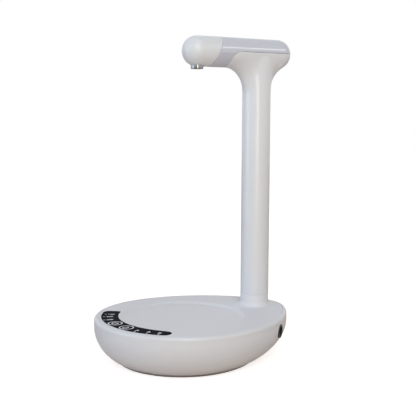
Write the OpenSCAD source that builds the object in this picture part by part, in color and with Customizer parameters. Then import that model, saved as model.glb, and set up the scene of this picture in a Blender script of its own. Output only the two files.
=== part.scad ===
// Table-top electric water jug pump: an egg-shaped base with a cup platform, a touch panel and a
// gear pump inside, and a swivelling column that carries the spout arm above the cup.
// Millimetres. Z is up, the table is z = 0, the cup's centre line is the Z axis and the front is -Y.

/* [Base] */
// Radius of the round front of the base, about the cup's centre line
base_front_r = 84; // [78:0.5:92]
// Radius of the narrow back end of the base
base_back_r = 38; // [38:0.5:44]
// Distance from the cup's centre line back to the centre of the back end
base_back_y = 76; // [72:0.5:84]
// Height of the base's top face above the table
base_h = 42; // [41:0.5:50]
// Wall thickness of the moulded shells
base_wall = 2.4; // [1.8:0.1:2.8]
// Half width of the ellipse that the bowl's side follows, from the wall in towards the table
bowl_side_w = 40; // [36:0.5:40]
// Share of the ellipse's height at which the bowl's flat bottom cuts it off
bowl_cut = 0.86; // [0.8:0.01:0.87]
// Share by which the bowl's side curves in further at the narrow back end
bowl_undercut = 0.69; // [0.4:0.01:0.7]
// Height of the wall between the start of the bowl's curve and the top face
bowl_wall_h = 8.5; // [8.5:0.25:10]
// Radius of the rounded rim around the top face
rim_r = 3; // [2:0.25:4]
// Thickness of the top cover
cover_t = 2.6; // [2.2:0.1:3.2]
// Thickness of the anti-slip pad under the base
pad_t = 2.5; // [1.5:0.25:3]
// Distance of the pad's edge inside the edge of the bowl's flat bottom
pad_inset = 2.2; // [1.5:0.1:2.6]

/* [Cup platform] */
// Land between the cup recess and the control panel
cup_land = 2; // [1:0.25:6]
// Depth of the cup recess
cup_depth = 2; // [1:0.25:3]
// Width of the sloping edge of the cup recess
cup_slope = 2.6; // [1:0.2:4]

/* [Control panel] */
// Land between the panel and the edge of the base
panel_land = 6.8; // [6:0.2:9]
// Width of the curved control panel at its left end
panel_w = 15.2; // [15:0.2:16]
// Amount by which the panel is narrower at its right end
panel_taper = 5.5; // [0:0.25:5.5]
// Half of the angle that the panel spans about its middle
panel_half_a = 47; // [35:1:50]
// Angle of the panel's middle to the right of the front
panel_turn = 5; // [0:0.5:8]
// Radius of the panel's corners along its outer edge
panel_corner_out = 6.5; // [4:0.5:6.5]
// Radius of the panel's corners along its inner edge
panel_corner_in = 2.5; // [1:0.25:2.5]
// Depth of the panel's window in the cover
panel_t = 1.4; // [1:0.1:1.6]
// Height that the panel's window stands above the top face
panel_proud = 0.2; // [0.1:0.1:0.6]
// Radius of a round touch key's contact pad
touch_pad_r = 3.4; // [2.5:0.1:3.6]

/* [Column] */
// Outer diameter of the column
column_d = 28; // [26:0.5:30]
// Wall thickness of the column
column_wall = 2.3; // [2:0.1:2.8]
// Distance of the column's axis behind the cup's centre line
column_y = 85; // [84:0.5:88]
// Height of the collar that the column stands on, above the top face
collar_h = 12; // [9:0.5:16]
// Radius of the fillet from the collar to the top face
collar_fillet = 5; // [3:0.25:7]
// Outer diameter of the spigot that turns in the collar
spigot_d = 23.6; // [23:0.1:24]
// Most that the column turns to either side
swivel_a = 90; // [45:5:120]

/* [Arm] */
// Height of the arm's axis above the table
arm_z = 291.5; // [250:0.5:330]
// Radius of the round arm
arm_r = 14.4; // [13.5:0.1:15.5]
// Wall thickness of the arm's covers
arm_wall = 2.1; // [1.8:0.1:2.4]
// Distance of the spout's axis behind the cup's centre line
spout_y = 15.5; // [8:0.5:20]
// Distance of the centre of the arm's back end behind the column's axis
arm_tail = 23.5; // [21:0.5:26]
// Length of the nose cap behind the spout's axis, along the arm's axis
nose_len = 17; // [16:0.5:24]
// Slant of the nose cap's seam, back towards the top
nose_tilt = 25; // [0:1:26]
// Distance that the saddle reaches in front of the column's axis
saddle_front = 39; // [35:0.5:42]
// Radius of the parting line's bend at the front of the saddle
saddle_bend_r = 11; // [7:0.5:13]
// Height of the flare below the arm
flare_h = 27; // [20:0.5:34]
// Reach of the flare along the arm, in front of the column's axis
flare_front = 37; // [33:0.5:38]
// Reach of the flare along the arm, behind the column's axis
flare_back = 30; // [27:0.5:33]
// Fullness of the flare between its ends and its flat sides
flare_power = 4; // [2:0.25:5]

/* [Spout] */
// Outer diameter of the steel spout nozzle
nozzle_d = 12; // [10:0.25:13]
// Diameter of the nozzle's bore
nozzle_bore_d = 8; // [7:0.25:9]
// Length of the nozzle's open outlet, up to the elbow's plug
nozzle_tip = 4; // [3:0.2:4.2]
// Length of nozzle that shows below the arm
nozzle_show = 2.4; // [2.2:0.2:6]

/* [Water line] */
// Outer diameter of the pipes and barbs that the hoses fit on
pipe_d = 6; // [5:0.1:6.4]
// Wall thickness of the pipes and barbs
pipe_wall = 0.8; // [0.6:0.05:1]
// Wall thickness of the silicone hoses
hose_wall = 1.5; // [1.2:0.1:1.7]
// Bend radius of the hose inside the arm
arm_bend_r = 19; // [16:0.5:22]
// Diameter of the hose port's bore, which the jug's hose plugs into
port_d = 8.8; // [8:0.1:9.4]
// Drop of the hose port's and charging socket's axes below the start of the bowl's curve
port_drop = 3.5; // [2.5:0.25:4.5]
// Position of the hose port around the side of the base, from its widest point
port_a = 34.5; // [32:0.5:38]
// Depth of the hose port's bore
port_depth = 10; // [8:0.5:12]

/* [Pump] */
// Distance of the motor's axis to the right of the cup's centre line
motor_x = 28; // [26:0.5:31]
// Outer diameter of the motor's can
motor_d = 24.4; // [22:0.2:25]
// Length of the motor's can
motor_len = 31; // [28:0.5:34]
// Distance of the motor's drive face behind the cup's centre line
motor_face_y = 2; // [-3:0.5:5]
// Diameter of the motor's shaft
shaft_d = 2; // [1.8:0.1:2.4]
// Pitch radius of the two equal pump gears
gear_r = 5.5; // [5:0.1:6]
// Number of teeth on each pump gear
gear_teeth = 9; // [8:1:11]
// Width of the pump gears
gear_w = 6; // [4:0.5:8]
// Wall thickness of the pump's housing around the gears
pump_wall = 2.6; // [2:0.1:3]

/* [Battery] */
// Diameter of the rechargeable cell
cell_d = 18.4; // [17:0.2:19]
// Length of the rechargeable cell
cell_len = 65; // [60:0.5:68]
// Distance of the cell to the left of the cup's centre line
cell_x = 34; // [31:0.5:36]

/* [Boards] */
// Thickness of the circuit boards
board_t = 1.6; // [1:0.1:2]
// Length of the charging board, inwards from the wall
board_len = 28; // [24:0.5:32]
// Width of the charging board
board_w = 22; // [18:0.5:26]
// Width of the charging socket's shell
usb_w = 9; // [8.6:0.1:9.4]
// Height of the charging socket's shell
usb_h = 3.3; // [3:0.1:3.6]
// Length of the charging socket's shell
usb_len = 8; // [7:0.25:10]

/* [Fasteners and fits] */
// Angle of the front base screws from the middle of the front
screw_a = 30; // [24:0.5:33]
// Distance of each back base screw to the side of the column's axis
screw_back_x = 17; // [16:0.5:18]
// Distance of the back base screws in front of the column's axis
screw_back_y = 15; // [15:0.5:17]
// Thread diameter of the base screws
screw_d = 2.6; // [2.2:0.1:3]
// Thread diameter of the small screws on the boards, the clamp and the pump
small_screw_d = 2; // [1.6:0.1:2.2]
// Clearance of a part that drops into a pocket
pocket_gap = 0.15; // [0.1:0.05:0.3]
// Radial clearance of a shaft or spigot that turns
running_gap = 0.06; // [0.03:0.01:0.09]
// Radial clearance of a hose on its barb
hose_gap = 0.1; // [0.05:0.05:0.2]
// Width of the seam between two visible covers
seam_gap = 0.25; // [0.15:0.05:0.4]

/* [Hidden] */
$fn = 64;
tiny = 0.01;
snug_gap = 0.05;
big = 400;

// Egg outline: the front half circle, two large side arcs and the back arc meet tangentially
side_d = (pow(base_back_y, 2) - pow(base_front_r - base_back_r, 2)) / (2 * (base_front_r - base_back_r));
side_r = base_front_r + side_d;
side_a = atan2(base_back_y, side_d);
front_steps = 40;
side_steps = 15;
back_steps = 13;

// Levels of the base
bowl_z = pad_t;
floor_z = bowl_z + base_wall;
cover_z = base_h - cover_t;
dish_z = base_h - cup_depth - cover_t;
bowl_curve_z = base_h - bowl_wall_h;
bowl_side_h = (bowl_curve_z - bowl_z) / bowl_cut;
bowl_side_a = asin(bowl_cut);
bowl_edge = bowl_side_w * (1 - cos(bowl_side_a));
bowl_rings = 10;
panel_out_r = base_front_r - panel_land;
panel_in_r = panel_out_r - panel_w;
cup_r = panel_in_r - cup_land;
dish_r = cup_r + cover_t;
rebate_inset = rim_r + 0.4;
ledge_inset = rebate_inset + 2.8;
ledge_h = 2.4;

// Column and arm
column_r = column_d / 2;
column_bore_r = column_r - column_wall;
spigot_r = spigot_d / 2;
spigot_bore_r = spigot_r - 2;
seam_z = base_h + collar_h;
socket_r = spigot_r + running_gap + 3.4;
ring_h = 3.2;
flare_z = arm_z - arm_r - flare_h;
arm_bore_r = arm_r - arm_wall;
nose_seam_y = spout_y + nose_len;
tail_y = column_y + arm_tail;
saddle_y = column_y - saddle_front;
lip_len = 6;

// Water line
pipe_r = pipe_d / 2;
pipe_bore_r = pipe_r - pipe_wall;
hose_bore_r = pipe_r + hose_gap;
hose_r = hose_bore_r + hose_wall;
barb_len = 12;
hose_sides = 12;
union_r = 8;
union_floor_z = floor_z + 4;
union_z = union_floor_z + 11;
union_barb_z = union_floor_z + 6.2;

// Foot of the column: its spigot ends above the hose that runs to the union
spigot_clear = 2.3;
spigot_z = union_barb_z + hose_r + spigot_clear;
socket_z = spigot_z + 4;

// Hose port: a threaded tail behind a flange carries the barb inwards
port_z = bowl_curve_z - port_drop;
port_r = port_d / 2;
port_wall = 1.2;
port_tail_r = port_r + port_wall;
port_flange_r = port_tail_r + 0.8;
port_flange_t = 1.2;
port_seal_t = 0.8;
port_boss_r = port_flange_r + 1.6;
port_seat = 4.6;
port_nut_t = 3.5;
port_nut_af = 2 * port_tail_r + 4.4;
port_floor_t = 2;

// Pump: the gears sit side by side along X, and both ports open through the cover
clamp_t = 2;
motor_z = (floor_z + dish_z - clamp_t) / 2;
motor_r = motor_d / 2;
shaft_r = shaft_d / 2;
shaft_boss_r = 3;
lobe = gear_r / (2 * gear_teeth);
gear_gap = 0.06;
tip_r = gear_r + 2 * lobe - gear_gap;
chamber_r = tip_r + 0.12;
idler_x = motor_x - 2 * gear_r;
mesh_x = motor_x - gear_r;
idler_pin_r = 1.5;
pump_back_t = 3;
pump_cover_t = 3;
chamber_y = motor_face_y + pump_back_t;
pump_cover_y = chamber_y + gear_w + 0.2;
pump_face_y = pump_cover_y + pump_cover_t;
pump_port_dz = hose_r + 1.1;
pump_bolt_r = 1.1;
pin_seat = 1.5;

// Motor
can_wall = 0.9;
magnet_t = 2.6;
armature_r = motor_r - can_wall - magnet_t - 0.4;
end_cap_t = 3.2;

// Battery and its cradle
cell_r = cell_d / 2;
cradle_wall = 1.8;
cell_z = floor_z + cradle_wall + cell_r;
cell_y = -34;

// Boards
panel_board_drop = 6;
panel_board_z = cover_z - panel_board_drop;
panel_board_margin = 1.4;
usb_board_z = port_z - usb_h / 2 - board_t;
usb_back = base_wall + 2.8;

// Fasteners
screw_r = screw_d / 2;
screw_head_r = 1.9 * screw_r;
screw_head_t = 1.6;
screw_len = 10;
boss_r = screw_r + 2.4;
boss_z = floor_z + 4;
screw_circle_r = min(base_front_r - bowl_edge - pad_inset, panel_in_r) - boss_r - 0.5;
small_r = small_screw_d / 2;
small_head_r = 1.8 * small_r;
small_head_t = 1.2;
small_screw_len = 5;
clamp_w = 11;
clamp_y = motor_face_y - 0.45 * motor_len;
clamp_foot = 8;
clamp_post_z = floor_z + 5;

// Shapes that repeat

// One ring of the egg outline, moved in by inset, and by as much again as under at the back
function egg(inset, under = 0) = concat(
    [for (i = [0 : front_steps - 1]) let(a = 180 + 180 * i / front_steps)
        (base_front_r - inset) * [cos(a), sin(a)]],
    [for (i = [0 : side_steps - 1]) let(a = side_a * i / side_steps, r = side_r - inset - under * pow(sin(a), 2))
        [r * cos(a) - side_d, r * sin(a)]],
    [for (i = [0 : back_steps - 1])
        let(a = side_a + (180 - 2 * side_a) * i / back_steps, r = base_back_r - inset - under * pow(sin(a), 2))
        [r * cos(a), base_back_y + r * sin(a)]],
    [for (i = [0 : side_steps - 1])
        let(a = 180 - side_a + side_a * i / side_steps, r = side_r - inset - under * pow(sin(a), 2))
        [r * cos(a) + side_d, r * sin(a)]]
);

// Faces of a loft through rings of n points each, closed by flat ends
function loft_faces(n, rings) = concat(
    [[for (i = [0 : n - 1]) i]],
    [for (j = [0 : rings - 2], i = [0 : n - 1])
        let(k = (i + 1) % n) each [[j * n + i, (j + 1) * n + i, (j + 1) * n + k], [j * n + i, (j + 1) * n + k, j * n + k]]],
    [[for (i = [0 : n - 1]) rings * n - 1 - i]]
);

// Solid whose outline is the egg at every [inset, height, extra inset at the back] of the profile
module egg_loft(profile) {
    polyhedron(
        points = [for (p = profile, q = egg(p[0], p[2])) [q[0], q[1], p[1]]],
        faces = loft_faces(len(egg(0)), len(profile)),
        convexity = 6
    );
}

// Places children on the side wall, looking outwards along their Z; side is 0 on the right and 1 on the left
module on_side_wall(side) {
    mirror([side, 0, 0])
        translate([-side_d, 0, 0])
            rotate([0, 0, port_a])
                translate([side_r, 0, port_z])
                    rotate([0, 90, 0])
                        children();
}

// Two base screws near the front edge of the pad and two beside the column
module on_base_screws() {
    for (s = [-1, 1]) {
        translate([s * screw_circle_r * sin(screw_a), -screw_circle_r * cos(screw_a), 0]) children();
        translate([s * screw_back_x, column_y - screw_back_y, 0]) children();
    }
}

module along_y(y) {
    translate([0, y, 0]) rotate([-90, 0, 0]) children();
}

module tube(r, bore, h) {
    difference() {
        cylinder(r = r, h = h);
        translate([0, 0, -1]) cylinder(r = bore, h = h + 2);
    }
}

// Screw standing on its head, thread upwards
module screw(r, length, head_r, head_t) {
    cylinder(r = head_r, h = head_t);
    translate([0, 0, head_t - tiny]) cylinder(r = r, h = length);
}

// Ring of round section
module o_ring(r, section) {
    rotate_extrude() translate([r, 0]) circle(section, $fn = 32);
}

// Hose along hand-picked points, smoothed into a curve that leaves both ends straight
function curve_point(p, i, t) =
    let(n = len(p), a = p[max(i - 1, 0)], b = p[i], c = p[min(i + 1, n - 1)], d = p[min(i + 2, n - 1)])
    0.5 * ((2 * b) + (c - a) * t + (2 * a - 5 * b + 4 * c - d) * t * t + (3 * b - a - 3 * c + d) * t * t * t);
function smooth(p, steps) = concat(
    [for (i = [0 : len(p) - 2], s = [0 : steps - 1]) curve_point(p, i, s / steps)], [p[len(p) - 1]]
);
function unit(v) = v / norm(v);
function tangent(c, i) = unit(c[min(i + 1, len(c) - 1)] - c[max(i - 1, 0)]);
function ring_at(c, i, r) =
    let(t = tangent(c, i), u = unit(cross(t, [0, 0, 1])), v = cross(u, t))
    [for (s = [0 : hose_sides - 1]) let(a = 360 * s / hose_sides) c[i] + r * (cos(a) * u - sin(a) * v)];

module hose(points, steps) {
    path = smooth(points, steps);
    count = len(path);
    outer = [for (i = [0 : count - 1]) each ring_at(path, i, hose_r)];
    inner = [for (i = [0 : count - 1]) each ring_at(path, i, hose_bore_r / cos(180 / hose_sides))];
    shift = len(outer);
    walls = [for (j = [0 : count - 2], s = [0 : hose_sides - 1]) let(k = (s + 1) % hose_sides)
        each [[j * hose_sides + s, (j + 1) * hose_sides + s, (j + 1) * hose_sides + k],
              [j * hose_sides + s, (j + 1) * hose_sides + k, j * hose_sides + k]]];
    ends = [for (e = [0, count - 1], s = [0 : hose_sides - 1]) let(k = (s + 1) % hose_sides, o = e * hose_sides,
            quad = [[o + s, o + k, shift + o + k], [o + s, shift + o + k, shift + o + s]])
        each e == 0 ? quad : [for (f = quad) [f[2], f[1], f[0]]]];
    polyhedron(
        points = concat(outer, inner),
        faces = concat(walls, [for (f = walls) [f[2] + shift, f[1] + shift, f[0] + shift]], ends),
        convexity = 6
    );
}

// Base shells

// Points of the bowl's side from the flat bottom up to the wall, moved in and up by shift
function bowl_side(shift) = [for (i = [0 : bowl_rings])
    let(a = bowl_side_a * (1 - i / bowl_rings), w = bowl_side_w * (1 - cos(a)))
    [shift + w, bowl_curve_z + shift - bowl_side_h * sin(a), bowl_undercut * w]];

// Profile of the bowl: up the outside, over the rim, down the rebate and ledge, and down the inside
function bowl_profile() = concat(
    bowl_side(0),
    [for (i = [0 : 5]) let(a = 90 * i / 5) [rim_r * (1 - cos(a)), base_h - rim_r * (1 - sin(a)), 0]],
    [for (p = [[rebate_inset, base_h], [rebate_inset, cover_z], [ledge_inset, cover_z], [ledge_inset, cover_z - ledge_h]])
        [p[0], p[1], 0]],
    let(side = bowl_side(base_wall)) [for (i = [0 : bowl_rings]) side[bowl_rings - i]]
);

// What stands on the bowl's floor and in its wall
module bowl_supports() {
    on_base_screws() translate([0, 0, bowl_z + 0.5]) cylinder(r = boss_r, h = boss_z - bowl_z - 0.5);
    // Motor saddle and the posts for its clamp
    translate([motor_x - motor_r + 1, clamp_y - clamp_w / 2, bowl_z + 0.5])
        cube([2 * motor_r - 2, clamp_w, clamp_post_z - 0.3 - bowl_z - 0.5]);
    for (s = [-1, 1])
        translate([motor_x + s * (motor_r + clamp_t + clamp_foot / 2), clamp_y, bowl_z + 0.5])
            cylinder(r = 3.2, h = clamp_post_z - bowl_z - 0.5);
    // Posts under the charging board
    usb_posts() cylinder(r = 2.6, h = usb_board_z - bowl_z - 0.5);
    // Pedestal under the swivel union, with a rim that locates it
    translate([0, column_y, bowl_z]) cylinder(r = union_r + 2, h = union_floor_z + 0.8 - bowl_z);
    // Thick place in the wall that the hose port is clamped to
    on_side_wall(0) translate([0, 0, -port_seat]) cylinder(r = port_boss_r, h = port_seat - port_flange_t);
}

module base_bowl() {
    color("whitesmoke") difference() {
        union() {
            egg_loft(bowl_profile());
            intersection() {
                egg_loft(concat(bowl_side(base_wall / 4), [[base_wall / 4, cover_z, 0]]));
                bowl_supports();
            }
        }
        // Screws come up through the floor, their heads hidden by the pad
        on_base_screws() {
            translate([0, 0, bowl_z - 1]) cylinder(r = screw_head_r + 0.3, h = 1 + 1.9);
            translate([0, 0, bowl_z]) cylinder(r = screw_r + 0.3, h = boss_z);
        }
        for (s = [-1, 1])
            translate([motor_x + s * (motor_r + clamp_t + clamp_foot / 2), clamp_y, floor_z])
                cylinder(r = small_r + snug_gap, h = clamp_post_z);
        along_y(clamp_y - clamp_w) translate([motor_x, -motor_z, 0]) cylinder(r = motor_r + 0.1, h = 2 * clamp_w);
        usb_posts(usb_board_z - small_screw_len - 1) cylinder(r = small_r + snug_gap, h = small_screw_len + 2);
        translate([0, column_y, union_floor_z]) cylinder(r = union_r + pocket_gap, h = base_h);
        // Hose port on the right, charging socket on the left
        on_side_wall(0) {
            translate([0, 0, -port_seat - 1]) cylinder(r = port_tail_r + pocket_gap, h = port_seat + 5);
            translate([0, 0, -port_flange_t - port_seal_t]) cylinder(r = port_flange_r + pocket_gap, h = 10);
            translate([0, 0, -port_seat - 8]) cylinder(r = port_nut_af / 2 / cos(30) + 0.4, h = 8);
        }
        on_side_wall(1) translate([0, 0, -base_wall - 8])
            linear_extrude(base_wall + 12) usb_outline(usb_w / 2 + pocket_gap, usb_h / 2 + pocket_gap);
    }
}

module top_cover() {
    edge = rebate_inset + pocket_gap;
    color("white") difference() {
        union() {
            egg_loft([[edge, cover_z, 0], [edge, base_h - 0.3, 0], [edge + 0.3, base_h, 0]]);
            translate([0, 0, dish_z]) cylinder(r = dish_r, h = cover_z - dish_z + tiny);
            // Collar with its fillet, and the long socket below it
            translate([0, column_y, base_h - tiny]) rotate_extrude() difference() {
                square([column_r + collar_fillet, collar_h + tiny]);
                translate([column_r + collar_fillet, collar_fillet + tiny]) circle(collar_fillet);
                translate([column_r, collar_fillet + tiny]) square([collar_fillet + 1, collar_h]);
            }
            translate([0, column_y, socket_z]) cylinder(r = socket_r, h = cover_z - socket_z + tiny);
            // Two stops that the lock ring's tab meets at the ends of the swivel
            for (s = [-1, 1]) translate([0, column_y, 0]) rotate([0, 0, -90 + s * (swivel_a + 14)])
                translate([socket_r - 0.2, -1.5, spigot_z + 0.3]) cube([3.5, 3, cover_z - spigot_z]);
            on_base_screws() translate([0, 0, boss_z]) cylinder(r = boss_r, h = cover_z - boss_z + tiny);
            panel_posts() translate([0, 0, panel_board_z + board_t])
                cylinder(r = 2.4, h = cover_z - panel_board_z - board_t + tiny);
        }
        translate([0, 0, base_h - cup_depth]) cylinder(r1 = cup_r - cup_slope, r2 = cup_r, h = cup_depth);
        translate([0, 0, base_h - tiny]) cylinder(r = cup_r, h = 1);
        translate([0, 0, base_h - panel_t]) linear_extrude(panel_t + 1) panel_band(-pocket_gap);
        translate([0, column_y, -1]) cylinder(r = spigot_r + running_gap, h = seam_z + 2);
        on_base_screws() translate([0, 0, -1]) cylinder(r = screw_r + snug_gap, h = boss_z + 1 + screw_len);
        panel_posts() translate([0, 0, panel_board_z - 1]) cylinder(r = small_r + snug_gap, h = small_screw_len + 2);
    }
}

// Inner radius of the panel at an angle from its middle: it grows evenly towards the right end
function panel_inner(a) = panel_in_r + panel_taper * (a + panel_half_a) / (2 * panel_half_a);

// Corner points of the curved panel: a tapering band with rounded corners, moved in by inset
function panel_outline(inset) =
    let(ro = panel_out_r - inset, rr = panel_inner(panel_half_a) + inset, rl = panel_in_r + inset,
        fi = max(panel_corner_in - inset, 0.5), fo = max(panel_corner_out - inset, 0.5),
        co = ro - fo, do = panel_half_a - asin(inset / ro) - asin(fo / co),
        cr = rr + fi, dr = panel_half_a - asin(inset / rr) - asin(fi / cr),
        cl = rl + fi, dl = panel_half_a - asin(inset / rl) - asin(fi / cl))
    concat(
        [for (i = [0 : 40]) let(a = -90 - do + 2 * do * i / 40) ro * [cos(a), sin(a)]],
        [for (i = [1 : 6]) let(a = -90 + do + 90 * i / 6) co * [cos(do - 90), sin(do - 90)] + fo * [cos(a), sin(a)]],
        [for (i = [0 : 6]) let(a = dr + 90 * i / 6) cr * [cos(dr - 90), sin(dr - 90)] + fi * [cos(a), sin(a)]],
        [for (i = [1 : 39]) let(a = dr - (dr + dl) * i / 40)
            (panel_inner(a) + inset) * [cos(a - 90), sin(a - 90)]],
        [for (i = [0 : 6]) let(a = 90 - dl + 90 * i / 6) cl * [cos(-90 - dl), sin(-90 - dl)] + fi * [cos(a), sin(a)]],
        [for (i = [0 : 5]) let(a = 180 - do + 90 * i / 6) co * [cos(-90 - do), sin(-90 - do)] + fo * [cos(a), sin(a)]]
    );

module panel_band(inset) {
    rotate(panel_turn) polygon(panel_outline(inset));
}

module panel_posts() {
    for (a = [-0.53, 0, 0.53]) rotate([0, 0, panel_turn - 90 + a * panel_half_a])
        translate([panel_out_r - 3.6, 0, 0]) children();
}

module control_panel() {
    color("black") translate([0, 0, base_h - panel_t]) linear_extrude(panel_t + panel_proud) panel_band(0);
}

module control_board() {
    color("darkgreen") difference() {
        translate([0, 0, panel_board_z]) linear_extrude(board_t) panel_band(panel_board_margin);
        panel_posts() translate([0, 0, panel_board_z - 1]) cylinder(r = small_r + 0.2, h = board_t + 2);
    }
}

// Foam contacts that press the touch keys' pads against the cover
module touch_pads() {
    color("dimgray") for (s = [-1, 1], k = [0.16, 0.42, 0.635, 0.84]) let(a = s * k * panel_half_a)
        rotate([0, 0, panel_turn - 90 + a]) translate([(panel_inner(a) + panel_out_r) / 2, 0, panel_board_z + board_t])
            cylinder(r = touch_pad_r, h = cover_z - panel_board_z - board_t);
}

module board_screws() {
    color("silver") {
        panel_posts() translate([0, 0, panel_board_z - small_head_t]) screw(small_r, small_screw_len, small_head_r, small_head_t);
        usb_posts(usb_board_z + board_t + small_head_t) mirror([0, 0, 1]) screw(small_r, small_screw_len, small_head_r, small_head_t);
    }
}

module anti_slip_pad() {
    color("dimgray") egg_loft([for (p = [[0.8, 0], [0, 0.8], [0, pad_t]])
        [bowl_edge + pad_inset + p[0], p[1], bowl_undercut * bowl_edge]]);
}

module base_screws() {
    color("silver") on_base_screws() translate([0, 0, bowl_z + 1.9 - screw_head_t])
        screw(screw_r, screw_len, screw_head_r, screw_head_t);
}

// Power

module battery_cell() {
    nub_r = 2.8;
    color("royalblue") along_y(cell_y) translate([-cell_x, -cell_z, 0]) {
        cylinder(r = cell_r, h = cell_len);
        translate([0, 0, cell_len - tiny]) cylinder(r = nub_r, h = 1.2);
    }
}

// Open tray with a round seat and an end wall at each end of the cell
module battery_cradle() {
    end_gap = 1.4;
    length = cell_len + 2 * end_gap + 2 * cradle_wall;
    width = cell_d + 2 * cradle_wall;
    y0 = cell_y - end_gap - cradle_wall;
    color("gainsboro") difference() {
        translate([-cell_x - width / 2, y0, floor_z]) cube([width, length, cell_z - floor_z]);
        along_y(y0 + cradle_wall) translate([-cell_x, -cell_z, 0])
            cylinder(r = cell_r + pocket_gap, h = length - 2 * cradle_wall);
        translate([-cell_x - width, y0 + length * 0.3, cell_z - cell_r * 0.45]) cube([2 * width, length * 0.4, cell_d]);
    }
}

// Rounded slot of the charging socket, drawn across the wall
module usb_outline(half_w, half_h) {
    for (s = [-1, 1]) translate([0, s * (half_w - half_h)]) circle(half_h, $fn = 32);
    square([2 * half_h, 2 * (half_w - half_h)], center = true);
}

module usb_posts(z = bowl_z + 0.5) {
    for (s = [-1, 1], d = [0.42, 0.86]) mirror([1, 0, 0]) translate([-side_d, 0, 0]) rotate([0, 0, port_a])
        translate([side_r - usb_back - d * board_len, s * (board_w / 2 - 3), z]) children();
}

module charging_board() {
    color("darkgreen") difference() {
        mirror([1, 0, 0]) translate([-side_d, 0, 0]) rotate([0, 0, port_a])
            translate([side_r - usb_back - board_len, -board_w / 2, usb_board_z]) cube([board_len, board_w, board_t]);
        usb_posts(usb_board_z - 1) cylinder(r = small_r + 0.2, h = board_t + 2);
    }
}

module charging_socket() {
    shell = 0.35;
    color("silver") on_side_wall(1) translate([0, 0, -usb_len - 0.4]) difference() {
        linear_extrude(usb_len) usb_outline(usb_w / 2, usb_h / 2);
        translate([0, 0, 1.2]) linear_extrude(usb_len) difference() {
            usb_outline(usb_w / 2 - shell, usb_h / 2 - shell);
            square([0.7, usb_w - 2.4], center = true);
        }
    }
}

// Motor and gear pump

module on_motor_axis(y) {
    along_y(y) translate([motor_x, -motor_z, 0]) children();
}

module motor_can() {
    color("silver") on_motor_axis(motor_face_y - motor_len) difference() {
        cylinder(r = motor_r, h = motor_len);
        translate([0, 0, -1]) cylinder(r = motor_r - can_wall, h = motor_len - can_wall + 1);
        cylinder(r = shaft_boss_r + snug_gap, h = motor_len + 1);
    }
}

module motor_end_cap() {
    color("ivory") on_motor_axis(motor_face_y - motor_len) difference() {
        union() {
            cylinder(r = motor_r - can_wall - snug_gap, h = end_cap_t);
            translate([0, 0, -2]) cylinder(r = shaft_boss_r + 1.4, h = 3);
        }
        translate([0, 0, -0.6]) cylinder(r = shaft_r + running_gap, h = end_cap_t + 2);
    }
}

module motor_magnets() {
    span = 130;
    color("dimgray") for (a = [0, 180]) on_motor_axis(motor_face_y - motor_len + end_cap_t + 2)
        rotate([0, 0, a - span / 2]) rotate_extrude(angle = span)
            translate([motor_r - can_wall - magnet_t - snug_gap, 0]) square([magnet_t, motor_len - end_cap_t - can_wall - 5]);
}

// Wound armature on the shaft that also carries the drive gear
module motor_armature() {
    core_len = motor_len - end_cap_t - can_wall - 10;
    poles = 5;
    color("chocolate") {
        on_motor_axis(motor_face_y - motor_len - 0.4) cylinder(r = shaft_r, h = motor_len + pump_back_t + gear_w + 0.4);
        on_motor_axis(motor_face_y - motor_len + end_cap_t + 4) difference() {
            cylinder(r = armature_r, h = core_len);
            for (i = [0 : poles - 1]) rotate([0, 0, 360 * i / poles]) translate([armature_r * 0.55, -0.7, -1])
                cube([armature_r, 1.4, core_len + 2]);
        }
        on_motor_axis(motor_face_y - motor_len + end_cap_t + 0.6) cylinder(r = shaft_boss_r, h = 3.6);
    }
}

// Cycloidal tooth outline: round lobes outside the pitch circle, matching hollows inside it
function gear_outline() = [for (i = [0 : 2 * gear_teeth - 1], s = [0 : 7])
    let(a = 180 / gear_teeth * (i + s / 8), out = i % 2 == 0,
        b = a - 180 / gear_teeth * i, k = 2 * gear_teeth, base = 180 / gear_teeth * i,
        p = out
            ? [(gear_r + lobe) * cos(b) - lobe * cos((k + 1) * b), (gear_r + lobe) * sin(b) - lobe * sin((k + 1) * b)]
            : [(gear_r - lobe) * cos(b) + lobe * cos((k - 1) * b), (gear_r - lobe) * sin(b) - lobe * sin((k - 1) * b)],
        q = p - gear_gap * unit(p))
    [q[0] * cos(base) - q[1] * sin(base), q[0] * sin(base) + q[1] * cos(base)]];

// Gear on the motor's shaft with a lobe towards the idler
module drive_gear() {
    color("ivory") on_motor_axis(chamber_y + 0.1) difference() {
        rotate([0, 0, 180 - 90 / gear_teeth]) linear_extrude(gear_w) polygon(gear_outline());
        translate([0, 0, -1]) cylinder(r = shaft_r, h = gear_w + 2);
    }
}

// Equal gear beside it, with a hollow towards the drive gear
module idler_gear() {
    color("ivory") along_y(chamber_y + 0.1) translate([idler_x, -motor_z, 0]) difference() {
        rotate([0, 0, 90 / gear_teeth]) linear_extrude(gear_w) polygon(gear_outline());
        translate([0, 0, -1]) cylinder(r = idler_pin_r + running_gap, h = gear_w + 2);
    }
}

module idler_pin() {
    color("silver") along_y(chamber_y - pin_seat) translate([idler_x, -motor_z, 0])
        cylinder(r = idler_pin_r, h = pump_cover_y - chamber_y + 2 * pin_seat);
}

// Outline of the pump around both gears
module pump_outline(grow) {
    for (x = [motor_x, idler_x]) translate([x, -motor_z]) circle(chamber_r + grow);
    translate([mesh_x, -motor_z]) square([2 * gear_r, 2 * (chamber_r + grow)], center = true);
}

module on_pump_screws(y) {
    for (sx = [-1, 1], sz = [-1, 1])
        along_y(y) translate([mesh_x + sx * (gear_r + chamber_r), -motor_z + sz * (chamber_r - 0.6), 0]) children();
}

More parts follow.
